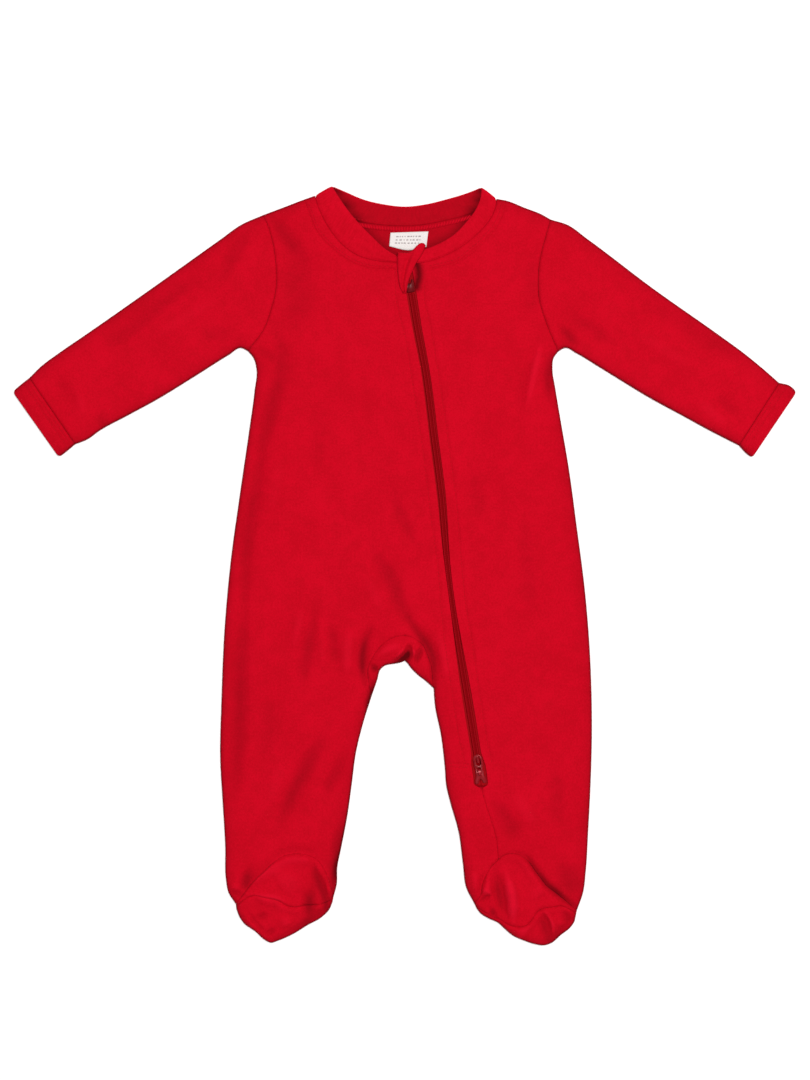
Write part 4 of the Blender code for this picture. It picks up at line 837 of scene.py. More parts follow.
# A closed tube through sections that have the same number of points
def swept(name, sections, shadedInside=(), shade=None):
    points = np.array(sections, float)
    count, columns = points.shape[:2]
    runs = np.linalg.norm(np.diff(points.mean(axis=1), axis=0), axis=1)
    around = np.linalg.norm(np.diff(points[0], axis=0), axis=1)
    across = np.concatenate([[0], np.cumsum(around)])
    along = np.concatenate([[0], np.cumsum(runs)])
    grain = np.dstack(np.meshgrid(across, along)).reshape(-1, 2)
    index = np.arange(count * columns).reshape(count, columns)
    follow = np.roll(index, -1, axis=1)
    quads = np.column_stack([index[:-1].ravel(), index[1:].ravel(), follow[1:].ravel(),
                             follow[:-1].ravel()])
    ends = [index[0].tolist(), index[-1, ::-1].tolist()]
    inside = [k for k in range(len(quads)) if k % columns in shadedInside]
    return addMesh(name, points.reshape(-1, 3), quads.tolist() + ends, grain,
                   shadedInside=inside, shade=shade)


# The neckband: a folded strip, swept round the neck and over at both shoulders. A section
# has points across its outer face, round the folded edge and back across its inner face
band = {"top": 4.7, "wall": 2.0, "seamDrop": 0.7, "seamHalf": 1.0, "crown": 0.45, "foldRadius": 1,
        "outerPlaces": (0, 0.05, 0.12, 0.22, 0.35, 0.5, 0.65, 0.8, 0.92),
        "foldPoints": 7, "foldAngles": (0.2, np.pi - 0.1), "innerPlaces": (0.9, 0.5, 0.1, 0),
        "turnClear": 2.9, "bend": 12, "edgeStep": 0.4, "pucker": (0.22, 4.2, 91),
        "puckerAt": (1.5, 3.5), "upright": 0.9}
outerCount = len(band["outerPlaces"])
innerFrom = outerCount + band["foldPoints"] - 1
sections = []


def bandRow(seam, edge, level, facing):
    across = edge - seam
    width = np.linalg.norm(across)
    across = np.append(across / width, 0)
    inner = width - band["foldRadius"]
    crown = band["crown"]
    profile = []
    for share in band["outerPlaces"]:
        drop = band["seamDrop"] * bell(share * inner, band["seamHalf"])
        profile.append((share * inner, -(drop + crown * (2 * share - 1)**4)))
    profile += [(inner + np.sin(t), np.cos(t) - 1 - crown * (t < np.pi / 2) * np.cos(t))
                for t in np.linspace(*band["foldAngles"], band["foldPoints"])]
    profile += [(share * inner, -band["wall"]) for share in band["innerPlaces"]]
    base = np.array([seam[0], seam[1], level])
    made = np.array([base + a * across + t * np.array(facing) for a, t in profile])
    ripple = waved(made[:outerCount, :2], band["pucker"]) * (facing[2] > band["upright"])
    at, half = band["puckerAt"]
    made[:outerCount, 2] += ripple * bell(np.arange(outerCount) - at, half)
    sections.append(made)


def unit(table):
    step = np.array(table[1], float) - table[0]
    return step / np.linalg.norm(step)


# The band folds over at a shoulder; above and below it leaves along its own two edges
def bandTurn(s, seamBelow, edgeBelow):
    seam, edge = np.array(neckSeam[s][0], float), np.array(neckEdge[s][0], float)
    along = (edge - seam) / np.linalg.norm(edge - seam)
    away = outwards[s] * np.array([-along[1], along[0]])
    reach = band["top"] / 2
    for angle in np.linspace(0, np.pi, band["bend"]):
        leaves = (unit(neckSeam[s]), unit(neckEdge[s])) if angle < np.pi / 2 else (
            unit(seamBelow), unit(edgeBelow))
        drawn = reach * (1 - np.sin(angle))
        bandRow(seam + drawn * leaves[0], edge + drawn * leaves[1],
                reach * (1 + np.cos(angle)), (*(away * np.sin(angle)), np.cos(angle)))


# Rows of the band between two tables, kept clear of the shoulders at the places in clear
def bandRun(seamTable, edgeTable, level, up, clear):
    seamRun = curve(seamTable)
    edgeRun = curve(edgeTable, band["edgeStep"])
    edgeRun = edgeRun[np.linspace(0, len(edgeRun) - 1, len(seamRun)).astype(int)]
    kept = []
    for a, b in zip(seamRun, edgeRun):
        gaps = [min(np.linalg.norm(a - seamRun[k]), np.linalg.norm(b - edgeRun[k]))
                for k in clear]
        if min(gaps) > band["turnClear"]:
            kept.append((a, b, level, (0, 0, up)))
    return kept


for row in bandRun(neckSeam["right"], neckEdge["right"], band["top"], 1, (0,))[::-1]:
    bandRow(*row)
bandTurn("right", backNeckSeam, backNeckEdge)
for row in bandRun(backNeckSeam, backNeckEdge, 0.0, -1, (0, -1)):
    bandRow(*row)
turnStart = len(sections)
bandTurn("left", backNeckSeam[::-1], backNeckEdge[::-1])
sections[turnStart:] = sections[turnStart:][::-1]
for row in bandRun(neckSeam["left"], neckEdge["left"], band["top"], 1, (0,)):
    bandRow(*row)
bandPoints = np.array(sections)
flat = bandPoints[:, :, :2].reshape(-1, 2)
# Painted shade on the band's inner face, under the front of the neck and beside the garage
painted = np.maximum(neckShade(flat), garageShade(flat)).reshape(bandPoints.shape[:2])
painted[:, :innerFrom] = 0
innerFaces = range(innerFrom, innerFrom + len(band["innerPlaces"]))
pieces["neckband"] = swept("neckband", sections, shadedInside=innerFaces, shade=painted.ravel())
print("neckband made")

# The zip: two tapes, and a coil of teeth on a cord
zipParts = {"step": 2.0, "tapeEnds": (238.5, -176.5), "tapeFrom": 0.15, "tapeWidth": 11.5,
            "tapeLow": 1.5, "tapeHigh": 2.55, "tapeEdge": 0.2, "tapeNear": 1.2,
            "coilEnds": (217.3, -161.9),
            "coilForm": [(2.4, 2.85), (2.4, 3.15), (2.1, 3.6), (1.5, 3.85), (0.6, 3.65),
                         (0.2, 3.25)],
            "toothPitch": 1.35, "toothAt": 1.25, "toothLevel": 3.8, "toothClear": 0.6,
            "cordShift": 0.1, "cordRise": 0.46}


def alongZip(name, ends, profile):
    y = np.linspace(*ends, int(abs(ends[0] - ends[1]) / zipParts["step"]) + 1)
    x = zipMiddle(y)
    return swept(name, [[(a + offset, b, level) for offset, level in profile]
                        for a, b in zip(x, y)])


low, high, wide = zipParts["tapeLow"], zipParts["tapeHigh"], zipParts["tapeWidth"]
near, soft = zipParts["tapeFrom"], zipParts["tapeEdge"]
tapeProfile = [(near, low), (near, high - soft), (near + soft, high),
               (zipParts["tapeNear"], high), (wide / 2, high), (wide - 2 * soft, high),
               (wide, high - soft), (wide, low), (wide / 2, low)]
pieces["zip_tape_left"] = alongZip("zipTapeLeft", zipParts["tapeEnds"], tapeProfile)
pieces["zip_tape_right"] = alongZip("zipTapeRight", zipParts["tapeEnds"],
                                    [(-a, b) for a, b in tapeProfile[::-1]])
coilForm = zipParts["coilForm"]
coilProfile = [(-a, b) for a, b in coilForm[::-1]] + coilForm
pieces["zip_chain"] = alongZip("zipChain", zipParts["coilEnds"], coilProfile)
print("zip made")

# Sliders and pull tab: the CAD form with softened edges
hardware = {"softEdge": 0.16, "segments": 2, "sharpAbove": 0.6, "flatBelow": 0.02,
            "smoothBelow": 0.7, "weld": 1e-6}


def softened(node, name):
    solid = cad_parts[node]
    mesh = solid.data.copy()
    mesh.name = name
    mesh.materials.clear()
    mesh.transform(solid.matrix_world)
    worked = bmesh.new()
    worked.from_mesh(mesh)
    bmesh.ops.remove_doubles(worked, verts=worked.verts, dist=hardware["weld"])
    bmesh.ops.dissolve_limit(worked, angle_limit=hardware["flatBelow"], verts=worked.verts,
                             edges=worked.edges)
    sharp = [edge for edge in worked.edges
             if len(edge.link_faces) == 2 and edge.calc_face_angle() > hardware["sharpAbove"]]
    bmesh.ops.bevel(worked, geom=sharp, offset=hardware["softEdge"] * mm,
                    segments=hardware["segments"], affect="EDGES", clamp_overlap=True)
    worked.to_mesh(mesh)
    worked.free()
    mesh.shade_smooth()
    mesh.set_sharp_from_angle(angle=hardware["smoothBelow"])
    return placed(name, mesh)


for node, name in (("slider_top", "sliderTop"), ("slider_bottom", "sliderBottom"),
                   ("pull_tab", "pullTab")):
    pieces[node] = softened(node, name)

# The zip garage at the neck: a cap of cloth with two lobes and a trough between them. A lobe
# is its height, place across, half width and how much of it is lost at the bottom
garage = {"low": 6.1, "leftLobe": (1.4, 0.14, 0.14, 0.5), "rightLobe": (2.2, 0.7, 0.22, 0.7),
          "trough": (0.9, 0.36, 0.1), "troughFrom": (0.04, 0.2), "floor": 5.05,
          "overFloor": 0.12, "edgeRound": 1.7, "edgeDrop": 1.0, "wall": 1.2, "columns": 40,
          "rows": 46, "pucker": (0.18, 3.2, 8), "puckerFrom": (0.4, 2)}
garageTop = [(-5.4, 250.2), (-0.2, 249.6), (3.6, 250), (6.6, 251.8), (10.2, 255.2),
             (13.2, 257.2), (15.4, 257.2), (17.2, 255.6)]
garageLeft = [(-5.4, 250.2), (-5.8, 241), (-5.3, 233), (-4.3, 225), (-2.2, 219.5),
              (0, 217.2)]
garageRight = [(17.2, 255.6), (15.2, 250.2), (12.8, 246), (10.3, 242.4), (8.3, 238.6),
               (6.4, 234.3), (4.6, 230), (3, 225), (2.2, 220), (1.6, 217.1)]


# The place at shares u and v between four corners, top ones first
def blend(corners, u, v):
    return ((1 - u) * (1 - v) * corners[0] + u * (1 - v) * corners[1]
            + (1 - u) * v * corners[2] + u * v * corners[3])


# A grid of points between four edges
def between(top, bottom, left, right):
    u = np.linspace(0, 1, len(top))[None, :, None]
    v = np.linspace(0, 1, len(left))[:, None, None]
    corners = blend((top[0], top[-1], bottom[0], bottom[-1]), u, v)
    return ((1 - v) * top[None] + v * bottom[None] + (1 - u) * left[:, None]
            + u * right[:, None] - corners)


def counted(table, count):
    fine = curve(table, tracing["fineStep"])
    return fine[np.linspace(0, len(fine) - 1, count).round().astype(int)]


def gridFaces(count, columns):
    index = np.arange(count * columns).reshape(count, columns)
    quads = np.column_stack([index[:-1, :-1].ravel(), index[1:, :-1].ravel(),
                             index[1:, 1:].ravel(), index[:-1, 1:].ravel()])
    return np.concatenate([quads[:, [0, 1, 2]], quads[:, [0, 2, 3]]])


def lobe(u, v, row):
    height, at, half, lost = row
    return height * bell(u - at, half) * (1 - lost * v)


columns, count = garage["columns"], garage["rows"]
left, right = counted(garageLeft, count), counted(garageRight, count)
topEdge, bottomEdge = counted(garageTop, columns), np.linspace(left[-1], right[-1], columns)
flatGrid = between(topEdge, bottomEdge, left, right).reshape(-1, 2)
u, v = np.meshgrid(np.linspace(0, 1, columns), np.linspace(0, 1, count))
depth, at, half = garage["trough"]
level = (garage["low"] + lobe(u, v, garage["leftLobe"]) + lobe(u, v, garage["rightLobe"])
         - depth * bell(u - at, half) * ramp(v, *garage["troughFrom"]))
loops["zip_garage"] = joined(topEdge, right, bottomEdge[::-1], left[::-1])
away = beside(flatGrid, loops["zip_garage"])[0]
level = level.ravel() - garage["edgeDrop"] * (1 - quarterRound(away, garage["edgeRound"]))
level += waved(flatGrid, garage["pucker"]) * ramp(away, *garage["puckerFrom"])
level = np.maximum(level, garage["floor"] + garage["overFloor"])
pieces["zip_garage"] = clothWall("zipGarage", np.column_stack([flatGrid, level]),
                                 gridFaces(count, columns), garage["wall"],
                                 lowest=garage["floor"])

# The label inside the back of the neck, with faint rows of generic marks
label = {"low": 1.5, "level": 2.2, "wall": 0.6, "curl": (0.18, 9, 21), "columns": 30,
         "rows": 11, "markRows": (0.26, 0.5, 0.72), "markLevel": 2.24, "markHeight": 0.95 / 11,
         "markStart": (0.14, 0.22), "markEnd": 0.8, "markWidth": (0.02, 0.07),
         "markGap": (0.02, 0.05), "seed": 12}
labelLeft, labelRight = [(-11, 266), (-12, 255.2)], [(19.3, 267), (17.6, 254.6)]
labelBottom = [labelLeft[1], (3, 252), labelRight[1]]
columns, count = label["columns"], label["rows"]
top = np.linspace(labelLeft[0], labelRight[0], columns)
grid = between(top, counted(labelBottom, columns), np.linspace(*labelLeft, count),
               np.linspace(*labelRight, count))
flatGrid = grid.reshape(-1, 2)
outer = np.column_stack([flatGrid, label["level"] + waved(flatGrid, label["curl"])])
pieces["label"] = clothWall("label", outer, gridFaces(count, columns), label["wall"],
                            lowest=label["low"])
loops["label"] = joined(top, grid[:, -1], grid[-1, ::-1], grid[::-1, 0])

random = np.random.default_rng(label["seed"])
labelCorners = (grid[0, 0], grid[0, -1], grid[-1, 0], grid[-1, -1])
marks, markFaces = [], []
for row in label["markRows"]:
    start = random.uniform(*label["markStart"])
    while start < label["markEnd"]:
        size = random.uniform(*label["markWidth"])
        for a in (start, start + size):
            for b in (row, row + label["markHeight"]):
                x, y = blend(labelCorners, a, b)
                curl = waved(np.array([[x, y]]), label["curl"])[0]
                marks.append((x, y, label["markLevel"] + curl))
        k = len(marks) - 4
        markFaces.append((k, k + 1, k + 3, k + 2))
        start += size + random.uniform(*label["markGap"])
labelMarks = addMesh("labelMarks", marks, markFaces, smooth=False)
print("garage and label made")


# Stitches: a nodes group that lays one thread form at every pitch along rows of edges
def makeStitchGroup():
    group = bpy.data.node_groups.new("stitchRow", "GeometryNodeTree")
    face = group.interface
    face.new_socket("Rows", in_out="INPUT", socket_type="NodeSocketGeometry")
    for name, kind, value in (("Pitch", "NodeSocketFloat", 0.0028),
                              ("Size", "NodeSocketVector", (0.001, 0.00025, 0.0002)),
                              ("Uneven", "NodeSocketFloat", 0.12),
                              ("Seed", "NodeSocketInt", 4),
                              ("Thread", "NodeSocketMaterial", None)):
        socket = face.new_socket(name, in_out="INPUT", socket_type=kind)
        if value is not None:
            socket.default_value = value
    face.new_socket("Stitches", in_out="OUTPUT", socket_type="NodeSocketGeometry")
    node, link = group.nodes.new, group.links.new
    take, give = node("NodeGroupInput"), node("NodeGroupOutput")
    line, spaced = node("GeometryNodeMeshToCurve"), node("GeometryNodeResampleCurve")
    spaced.mode = "LENGTH"
    form, direction = node("GeometryNodeMeshIcoSphere"), node("GeometryNodeInputTangent")
    form.inputs["Radius"].default_value = 1
    form.inputs["Subdivisions"].default_value = 2
    turn, lay = node("FunctionNodeAlignRotationToVector"), node("GeometryNodeInstanceOnPoints")
    turn.axis = "X"
    uneven, least, most = (node("FunctionNodeRandomValue"), node("ShaderNodeMath"),
                           node("ShaderNodeMath"))
    least.operation = "SUBTRACT"
    for limit, target in ((least, uneven.inputs[2]), (most, uneven.inputs[3])):
        limit.inputs[0].default_value = 1
        link(take.outputs["Uneven"], limit.inputs[1])
        link(limit.outputs[0], target)
    scale = node("ShaderNodeVectorMath")
    scale.operation = "SCALE"
    whole, soft = node("GeometryNodeRealizeInstances"), node("GeometryNodeSetShadeSmooth")
    paint = node("GeometryNodeSetMaterial")
    passed = (take, line, spaced, lay, whole, soft, paint, give)
    for before, after in zip(passed[:-1], passed[1:]):
        link(before.outputs[0], after.inputs[0])
    link(take.outputs["Pitch"], spaced.inputs["Length"])
    link(form.outputs["Mesh"], lay.inputs["Instance"])
    link(direction.outputs["Tangent"], turn.inputs["Vector"])
    link(turn.outputs["Rotation"], lay.inputs["Rotation"])
    link(take.outputs["Seed"], uneven.inputs["Seed"])
    link(take.outputs["Size"], scale.inputs[0])
    link(uneven.outputs[1], scale.inputs["Scale"])
    link(scale.outputs["Vector"], lay.inputs["Scale"])
    link(take.outputs["Thread"], paint.inputs["Material"])
    return group


stitchGroup = makeStitchGroup()


# Rows of points in millimetres, turned into a plain mesh of stitches
def stitched(name, lines, look, thread):
    points, edges = [], []
    for line in lines:
        start = len(points)
        points += [tuple(p) for p in np.asarray(line) * mm]
        edges += [(k, k + 1) for k in range(start, len(points) - 1)]
    mesh = bpy.data.meshes.new(name + "Rows")
    mesh.from_pydata(points, edges, [])
    made = placed(name, mesh)
    modifier = made.modifiers.new("stitches", "NODES")
    modifier.node_group = stitchGroup
    values = {"Pitch": look["pitch"] * mm, "Uneven": look["uneven"], "Seed": look["seed"],
              "Size": [whole * mm / 2 for whole in look["size"]], "Thread": thread}
    for item in stitchGroup.interface.items_tree:
        if item.in_out == "INPUT" and item.name in values:
            modifier[item.identifier] = values[item.name]
    bpy.context.view_layer.update()
    evaluated = made.evaluated_get(bpy.context.evaluated_depsgraph_get())
    plain = bpy.data.meshes.new_from_object(evaluated)
    made.modifiers.remove(modifier)
    made.data = plain
    return made


def onFront(line, lift):
    return np.column_stack([line, frontForm(line)[0] + lift])


def onUnder(line, lift):
    return np.column_stack([line, backHeight(line) - lift])


def onLevel(line, level):
    return np.column_stack([line, np.full(len(line), level)])


colour, number, direction = "NodeSocketColor", "NodeSocketFloat", "NodeSocketVector"


# A shader group, with the sockets that come in and those that it fills
def shaderGroup(name, inputs, outputs):
    group = bpy.data.node_groups.new(name, "ShaderNodeTree")
    for title, kind, value in inputs:
        socket = group.interface.new_socket(title, in_out="INPUT", socket_type=kind)
        socket.default_value = value
    for title, kind in outputs:
        group.interface.new_socket(title, in_out="OUTPUT", socket_type=kind)
    take, give = group.nodes.new("NodeGroupInput"), group.nodes.new("NodeGroupOutput")
    return group, take.outputs, give.inputs


def setTo(group, socket, value):
    if hasattr(value, "is_linked"):
        group.links.new(value, socket)
    else:
        socket.default_value = value


def maths(group, operation, *values):
    node = group.nodes.new("ShaderNodeMath")
    node.operation = operation
    for k, value in enumerate(values):
        setTo(group, node.inputs[k], value)
    return node.outputs[0]


def plus(group, first, second):
    return maths(group, "ADD", first, second)


def times(group, first, second):
    return maths(group, "MULTIPLY", first, second)


def clamped(value):
    value.node.use_clamp = True
    return value


def noise(group, vector, scale, detail=2.0, rough=0.5):
    node = group.nodes.new("ShaderNodeTexNoise")
    node.inputs["Scale"].default_value = scale
    node.inputs["Detail"].default_value = detail
    node.inputs["Roughness"].default_value = rough
    group.links.new(vector, node.inputs["Vector"])
    return node.outputs[0]


def mixed(group, factor, first, second):
    node = group.nodes.new("ShaderNodeMix")
    node.data_type = "RGBA"
    group.links.new(factor, node.inputs["Factor"])
    group.links.new(first, node.inputs["A"])
    group.links.new(second, node.inputs["B"])
    return node.outputs["Result"]


def bumped(group, height, strength, distance):
    node = group.nodes.new("ShaderNodeBump")
    node.inputs["Distance"].default_value = distance
    setTo(group, node.inputs["Strength"], strength)
    group.links.new(height, node.inputs["Height"])
    return node.outputs[0]


# The direction of the cloth's grain, whole and as its two shares
def grainOf(group):
    grain = group.nodes.new("ShaderNodeUVMap")
    grain.uv_map = "grain"
    apart = group.nodes.new("ShaderNodeSeparateXYZ")
    group.links.new(grain.outputs[0], apart.inputs[0])
    return grain.outputs[0], apart.outputs[0], apart.outputs[1]


def objectPlace(group):
    return group.nodes.new("ShaderNodeTexCoord").outputs["Object"]


# A noise is its scale, detail and roughness; a part is how much of it is used
knit = {"swayNoise": (220,), "swayPart": 0.0007, "loopLength": 0.8, "loopLean": 1.6,
        "loopPart": 0.3, "fuzzNoise": (2600, 3), "fuzzPart": 0.9, "depth": 0.0003,
        "broadNoise": (34, 2), "broadPart": 0.5, "middleNoise": (130, 3), "middlePart": 0.7,
        "fineNoise": (620, 2, 0.7), "finePart": 1.3, "middle": 1.25, "contrast": 2.2,
        "smoothest": 0.78, "roughPart": 0.16}


# Loops of knit in columns along the grain, softly mottled, with painted shade where the cloth
# holds shade and a painted highlight on a crest
def makeKnit():
    group, take, give = shaderGroup(
        "knit", [("Colour", colour, (0.5, 0, 0, 1)), ("Shade", colour, (0.4, 0, 0, 1)),
                 ("Wale", number, 0.001), ("Relief", number, 0.3), ("Mottle", number, 0.8),
                 ("PaintedShade", colour, (0.1, 0, 0, 1)), ("PaintedHighlight", colour, (0.6, 0, 0, 1))],
        [("Base Color", colour), ("Roughness", number), ("Normal", direction)])
    grain, grainAcross, grainAlong = grainOf(group)
    place = objectPlace(group)
    sway = times(group, noise(group, grain, *knit["swayNoise"]), knit["swayPart"])
    across = maths(group, "DIVIDE", plus(group, grainAcross, sway), take["Wale"])
    along = maths(group, "DIVIDE", grainAlong, times(group, take["Wale"], knit["loopLength"]))
    column = maths(group, "ABSOLUTE", maths(group, "SINE", times(group, across, np.pi)))
    lean = maths(group, "COSINE", times(group, across, 2 * np.pi))
    phase = plus(group, times(group, along, 2 * np.pi), times(group, lean, knit["loopLean"]))
    loop = times(group, maths(group, "SINE", phase), knit["loopPart"])
    fuzz = times(group, noise(group, place, *knit["fuzzNoise"]), knit["fuzzPart"])
    height = plus(group, plus(group, column, loop), fuzz)
    broad = noise(group, place, *knit["broadNoise"])
    middle = noise(group, place, *knit["middleNoise"])
    fine = noise(group, grain, *knit["fineNoise"])
    clouds = plus(group, times(group, broad, knit["broadPart"]),
                  times(group, middle, knit["middlePart"]))
    specks = plus(group, clouds, times(group, fine, knit["finePart"]))
    centred = times(group, maths(group, "SUBTRACT", specks, knit["middle"]),
                    times(group, take["Mottle"], knit["contrast"]))
    share = clamped(plus(group, centred, 0.5))
    painted = group.nodes.new("ShaderNodeAttribute")
    painted.attribute_name = "paintedLight"
    paintedHighlightShare = clamped(times(group, painted.outputs["Fac"], -1.0))
    paintedShadeShare = clamped(times(group, painted.outputs["Fac"], 1.0))
    plain = mixed(group, share, take["Shade"], take["Colour"])
    plain = mixed(group, paintedHighlightShare, plain, take["PaintedHighlight"])
    group.links.new(mixed(group, paintedShadeShare, plain, take["PaintedShade"]), give["Base Color"])
    group.links.new(plus(group, times(group, middle, knit["roughPart"]), knit["smoothest"]),
                    give["Roughness"])
    group.links.new(bumped(group, height, take["Relief"], knit["depth"]), give["Normal"])
    return group


weave = {"depth": 0.0002, "relief": 0.4}


# Woven tape: small crossing threads
def makeWeave():
    group, take, give = shaderGroup(
        "weave", [("Colour", colour, (0.3, 0, 0, 1)), ("Shade", colour, (0.2, 0, 0, 1)),
                  ("Pitch", number, 0.0006)],
        [("Base Color", colour), ("Normal", direction)])
    threads = [maths(group, "SINE", times(group, maths(group, "DIVIDE", axis, take["Pitch"]),
                                          np.pi)) for axis in grainOf(group)[1:]]
    cross = times(group, *threads)
    share = plus(group, times(group, cross, 0.5), 0.5)
    group.links.new(mixed(group, share, take["Shade"], take["Colour"]), give["Base Color"])
    group.links.new(bumped(group, cross, weave["relief"], weave["depth"]), give["Normal"])
    return group


enamel = {"gritNoise": (900, 3), "gritPart": 0.4, "edgeFrom": 0.52, "edgeGain": 9,
          "smoothest": 0.24, "roughPart": 0.2}


# Enamel on metal, paler on its edges: partly rubbed wear, partly a painted edge highlight
def makeEnamel():
    group, take, give = shaderGroup(
        "enamel", [("Colour", colour, (0.4, 0, 0, 1)), ("EdgeWearAndHighlight", colour, (0.7, 0.2, 0.2, 1)),
                   ("EdgeWearAndHighlightAmount", number, 0.6)],
        [("Base Color", colour), ("Roughness", number)])
    grit = noise(group, objectPlace(group), *enamel["gritNoise"])
    form = group.nodes.new("ShaderNodeNewGeometry").outputs["Pointiness"]
    edge = times(group, maths(group, "SUBTRACT", form, enamel["edgeFrom"]), enamel["edgeGain"])
    edgeWearAndHighlight = plus(group, edge, times(group, grit, enamel["gritPart"]))
    share = clamped(times(group, edgeWearAndHighlight, take["EdgeWearAndHighlightAmount"]))
    group.links.new(mixed(group, share, take["Colour"], take["EdgeWearAndHighlight"]), give["Base Color"])
    group.links.new(plus(group, times(group, grit, enamel["roughPart"]), enamel["smoothest"]),
                    give["Roughness"])
    return group


groups = {"knit": makeKnit(), "weave": makeWeave(), "enamel": makeEnamel()}


def makeMaterial(name, group, values, fixed):
    made = bpy.data.materials.new(name)
    made.use_nodes = True
    shader = made.node_tree.nodes["Principled BSDF"]
    for key, value in fixed.items():
        shader.inputs[key].default_value = value
    if group:
        used = made.node_tree.nodes.new("ShaderNodeGroup")
        used.node_tree = groups[group]
        used.location = (-300, 200)
        for key, value in values.items():
            used.inputs[key].default_value = value
        for output in used.outputs:
            made.node_tree.links.new(output, shader.inputs[output.name])
    return made


# Colours. The near-black red and the palest red are painted shade and painted highlight for the
# cloth; the inner faces' reds and the top slider's near-black enamel, with its duller edge red,
# are darker copies as painted shade; the pale enamel edge red is partly rubbed wear, partly a
# painted edge highlight
paint = {"cloth": (0.535, 0.0009, 0.0118, 1), "clothShade": (0.455, 0.0004, 0.0085, 1),
         "shadedInside": (0.41, 0.0006, 0.008, 1), "shadedInsideMottle": (0.34, 0.0003, 0.006, 1),
         "paintedShade": (0.07, 0.0001, 0.0012, 1), "paintedHighlight": (0.68, 0.004, 0.024, 1),
         "thread": (0.43, 0.0008, 0.009, 1), "tape": (0.34, 0.0004, 0.004, 1),
         "tapeShade": (0.27, 0.0003, 0.003, 1), "teeth": (0.24, 0.0004, 0.003, 1),
         "cord": (0.40, 0.004, 0.012, 1),
         "enamel": (0.20, 0.001, 0.004, 1), "enamelEdgeWearAndHighlight": (0.46, 0.02, 0.035, 1),
         "enamelShaded": (0.07, 0.0004, 0.0015, 1), "enamelShadedEdgeWearAndHighlight": (0.30, 0.008, 0.015, 1),
         "label": (0.77, 0.72, 0.70, 1), "labelShade": (0.71, 0.66, 0.64, 1),
         "marks": (0.34, 0.29, 0.29, 1), "floor": (0.93, 0.93, 0.93, 1)}
clothFinish = {"Sheen Weight": 0.1, "Sheen Roughness": 0.5, "Sheen Tint": (0.9, 0.06, 0.1, 1),
               "Specular IOR Level": 0.05}


def knitMaterial(name, wale, relief, mottle=1.05, colours=("cloth", "clothShade")):
    return makeMaterial(name, "knit", {"Colour": paint[colours[0]], "Shade": paint[colours[1]],
                                       "Wale": wale, "Relief": relief, "Mottle": mottle,
                                       "PaintedShade": paint["paintedShade"], "PaintedHighlight": paint["paintedHighlight"]},
                        clothFinish)


def plainMaterial(name, roughness, specular, look=None):
    return makeMaterial(name, None, {}, {"Base Color": paint[look or name],
                                         "Roughness": roughness,
                                         "Specular IOR Level": specular})


looks = {
    "interlock": knitMaterial("interlock", 0.0011, 0.35),
    "rib": knitMaterial("rib", 0.0016, 0.5),
    # The inner faces' cloth, a darker copy seen inside the neck: painted shade
    "shadedInside": knitMaterial("shadedInside", 0.0011, 0.3, 0.8, ("shadedInside", "shadedInsideMottle")),
    "tape": makeMaterial("tape", "weave", {"Colour": paint["tape"],
                                           "Shade": paint["tapeShade"]},
                         {"Roughness": 0.75, "Specular IOR Level": 0.08}),
    "teeth": plainMaterial("teeth", 0.6, 0.03),
    "cord": plainMaterial("cord", 0.6, 0.05),
    "thread": plainMaterial("thread", 0.7, 0.08),
    "serged": plainMaterial("serged", 0.75, 0.05, "cloth"),
    "enamel": makeMaterial("enamel", "enamel", {"Colour": paint["enamel"],
                                                "EdgeWearAndHighlight": paint["enamelEdgeWearAndHighlight"]},
                           {"Metallic": 0.1, "Specular IOR Level": 0.2, "Coat Weight": 0.08,
                            "Coat Roughness": 0.2}),
    # The top slider's enamel, darker because the garage lies over it: painted shade
    "shadedEnamel": makeMaterial("shadedEnamel", "enamel", {"Colour": paint["enamelShaded"],
                                                            "EdgeWearAndHighlight": paint["enamelShadedEdgeWearAndHighlight"]},
                                 {"Specular IOR Level": 0.1}),
    "label": makeMaterial("label", "weave", {"Colour": paint["label"],
                                             "Shade": paint["labelShade"],
                                             "Pitch": 0.0004},
                          {"Roughness": 0.7, "Specular IOR Level": 0.2}),
    "marks": plainMaterial("marks", 0.9, 0.5),
}
slots = {"neckband": ("rib", "cloth"), "zip_tape_right": ("tape", "zip_tape"),
         "zip_tape_left": ("tape", "zip_tape"), "zip_chain": ("teeth", "zip_coil"),
         "slider_top": ("shadedEnamel", "enamelled_metal"),
         "slider_bottom": ("enamel", "enamelled_metal"),
         "pull_tab": ("enamel", "enamelled_metal"), "label": ("label", "label")}
for node, piece in pieces.items():
    look, named = slots.get(node, ("rib" if node.startswith("cuff") else "interlock", "cloth"))
    piece.data.materials.append(looks[look])
    if look in ("rib", "interlock"):
        piece.data.materials.append(looks["shadedInside"])
    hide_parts(node)
    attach(piece, "pull_tab" if node == "pull_tab" else "suit")
labelMarks.data.materials.append(looks["marks"])
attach(labelMarks, "suit")
print("materials ready")

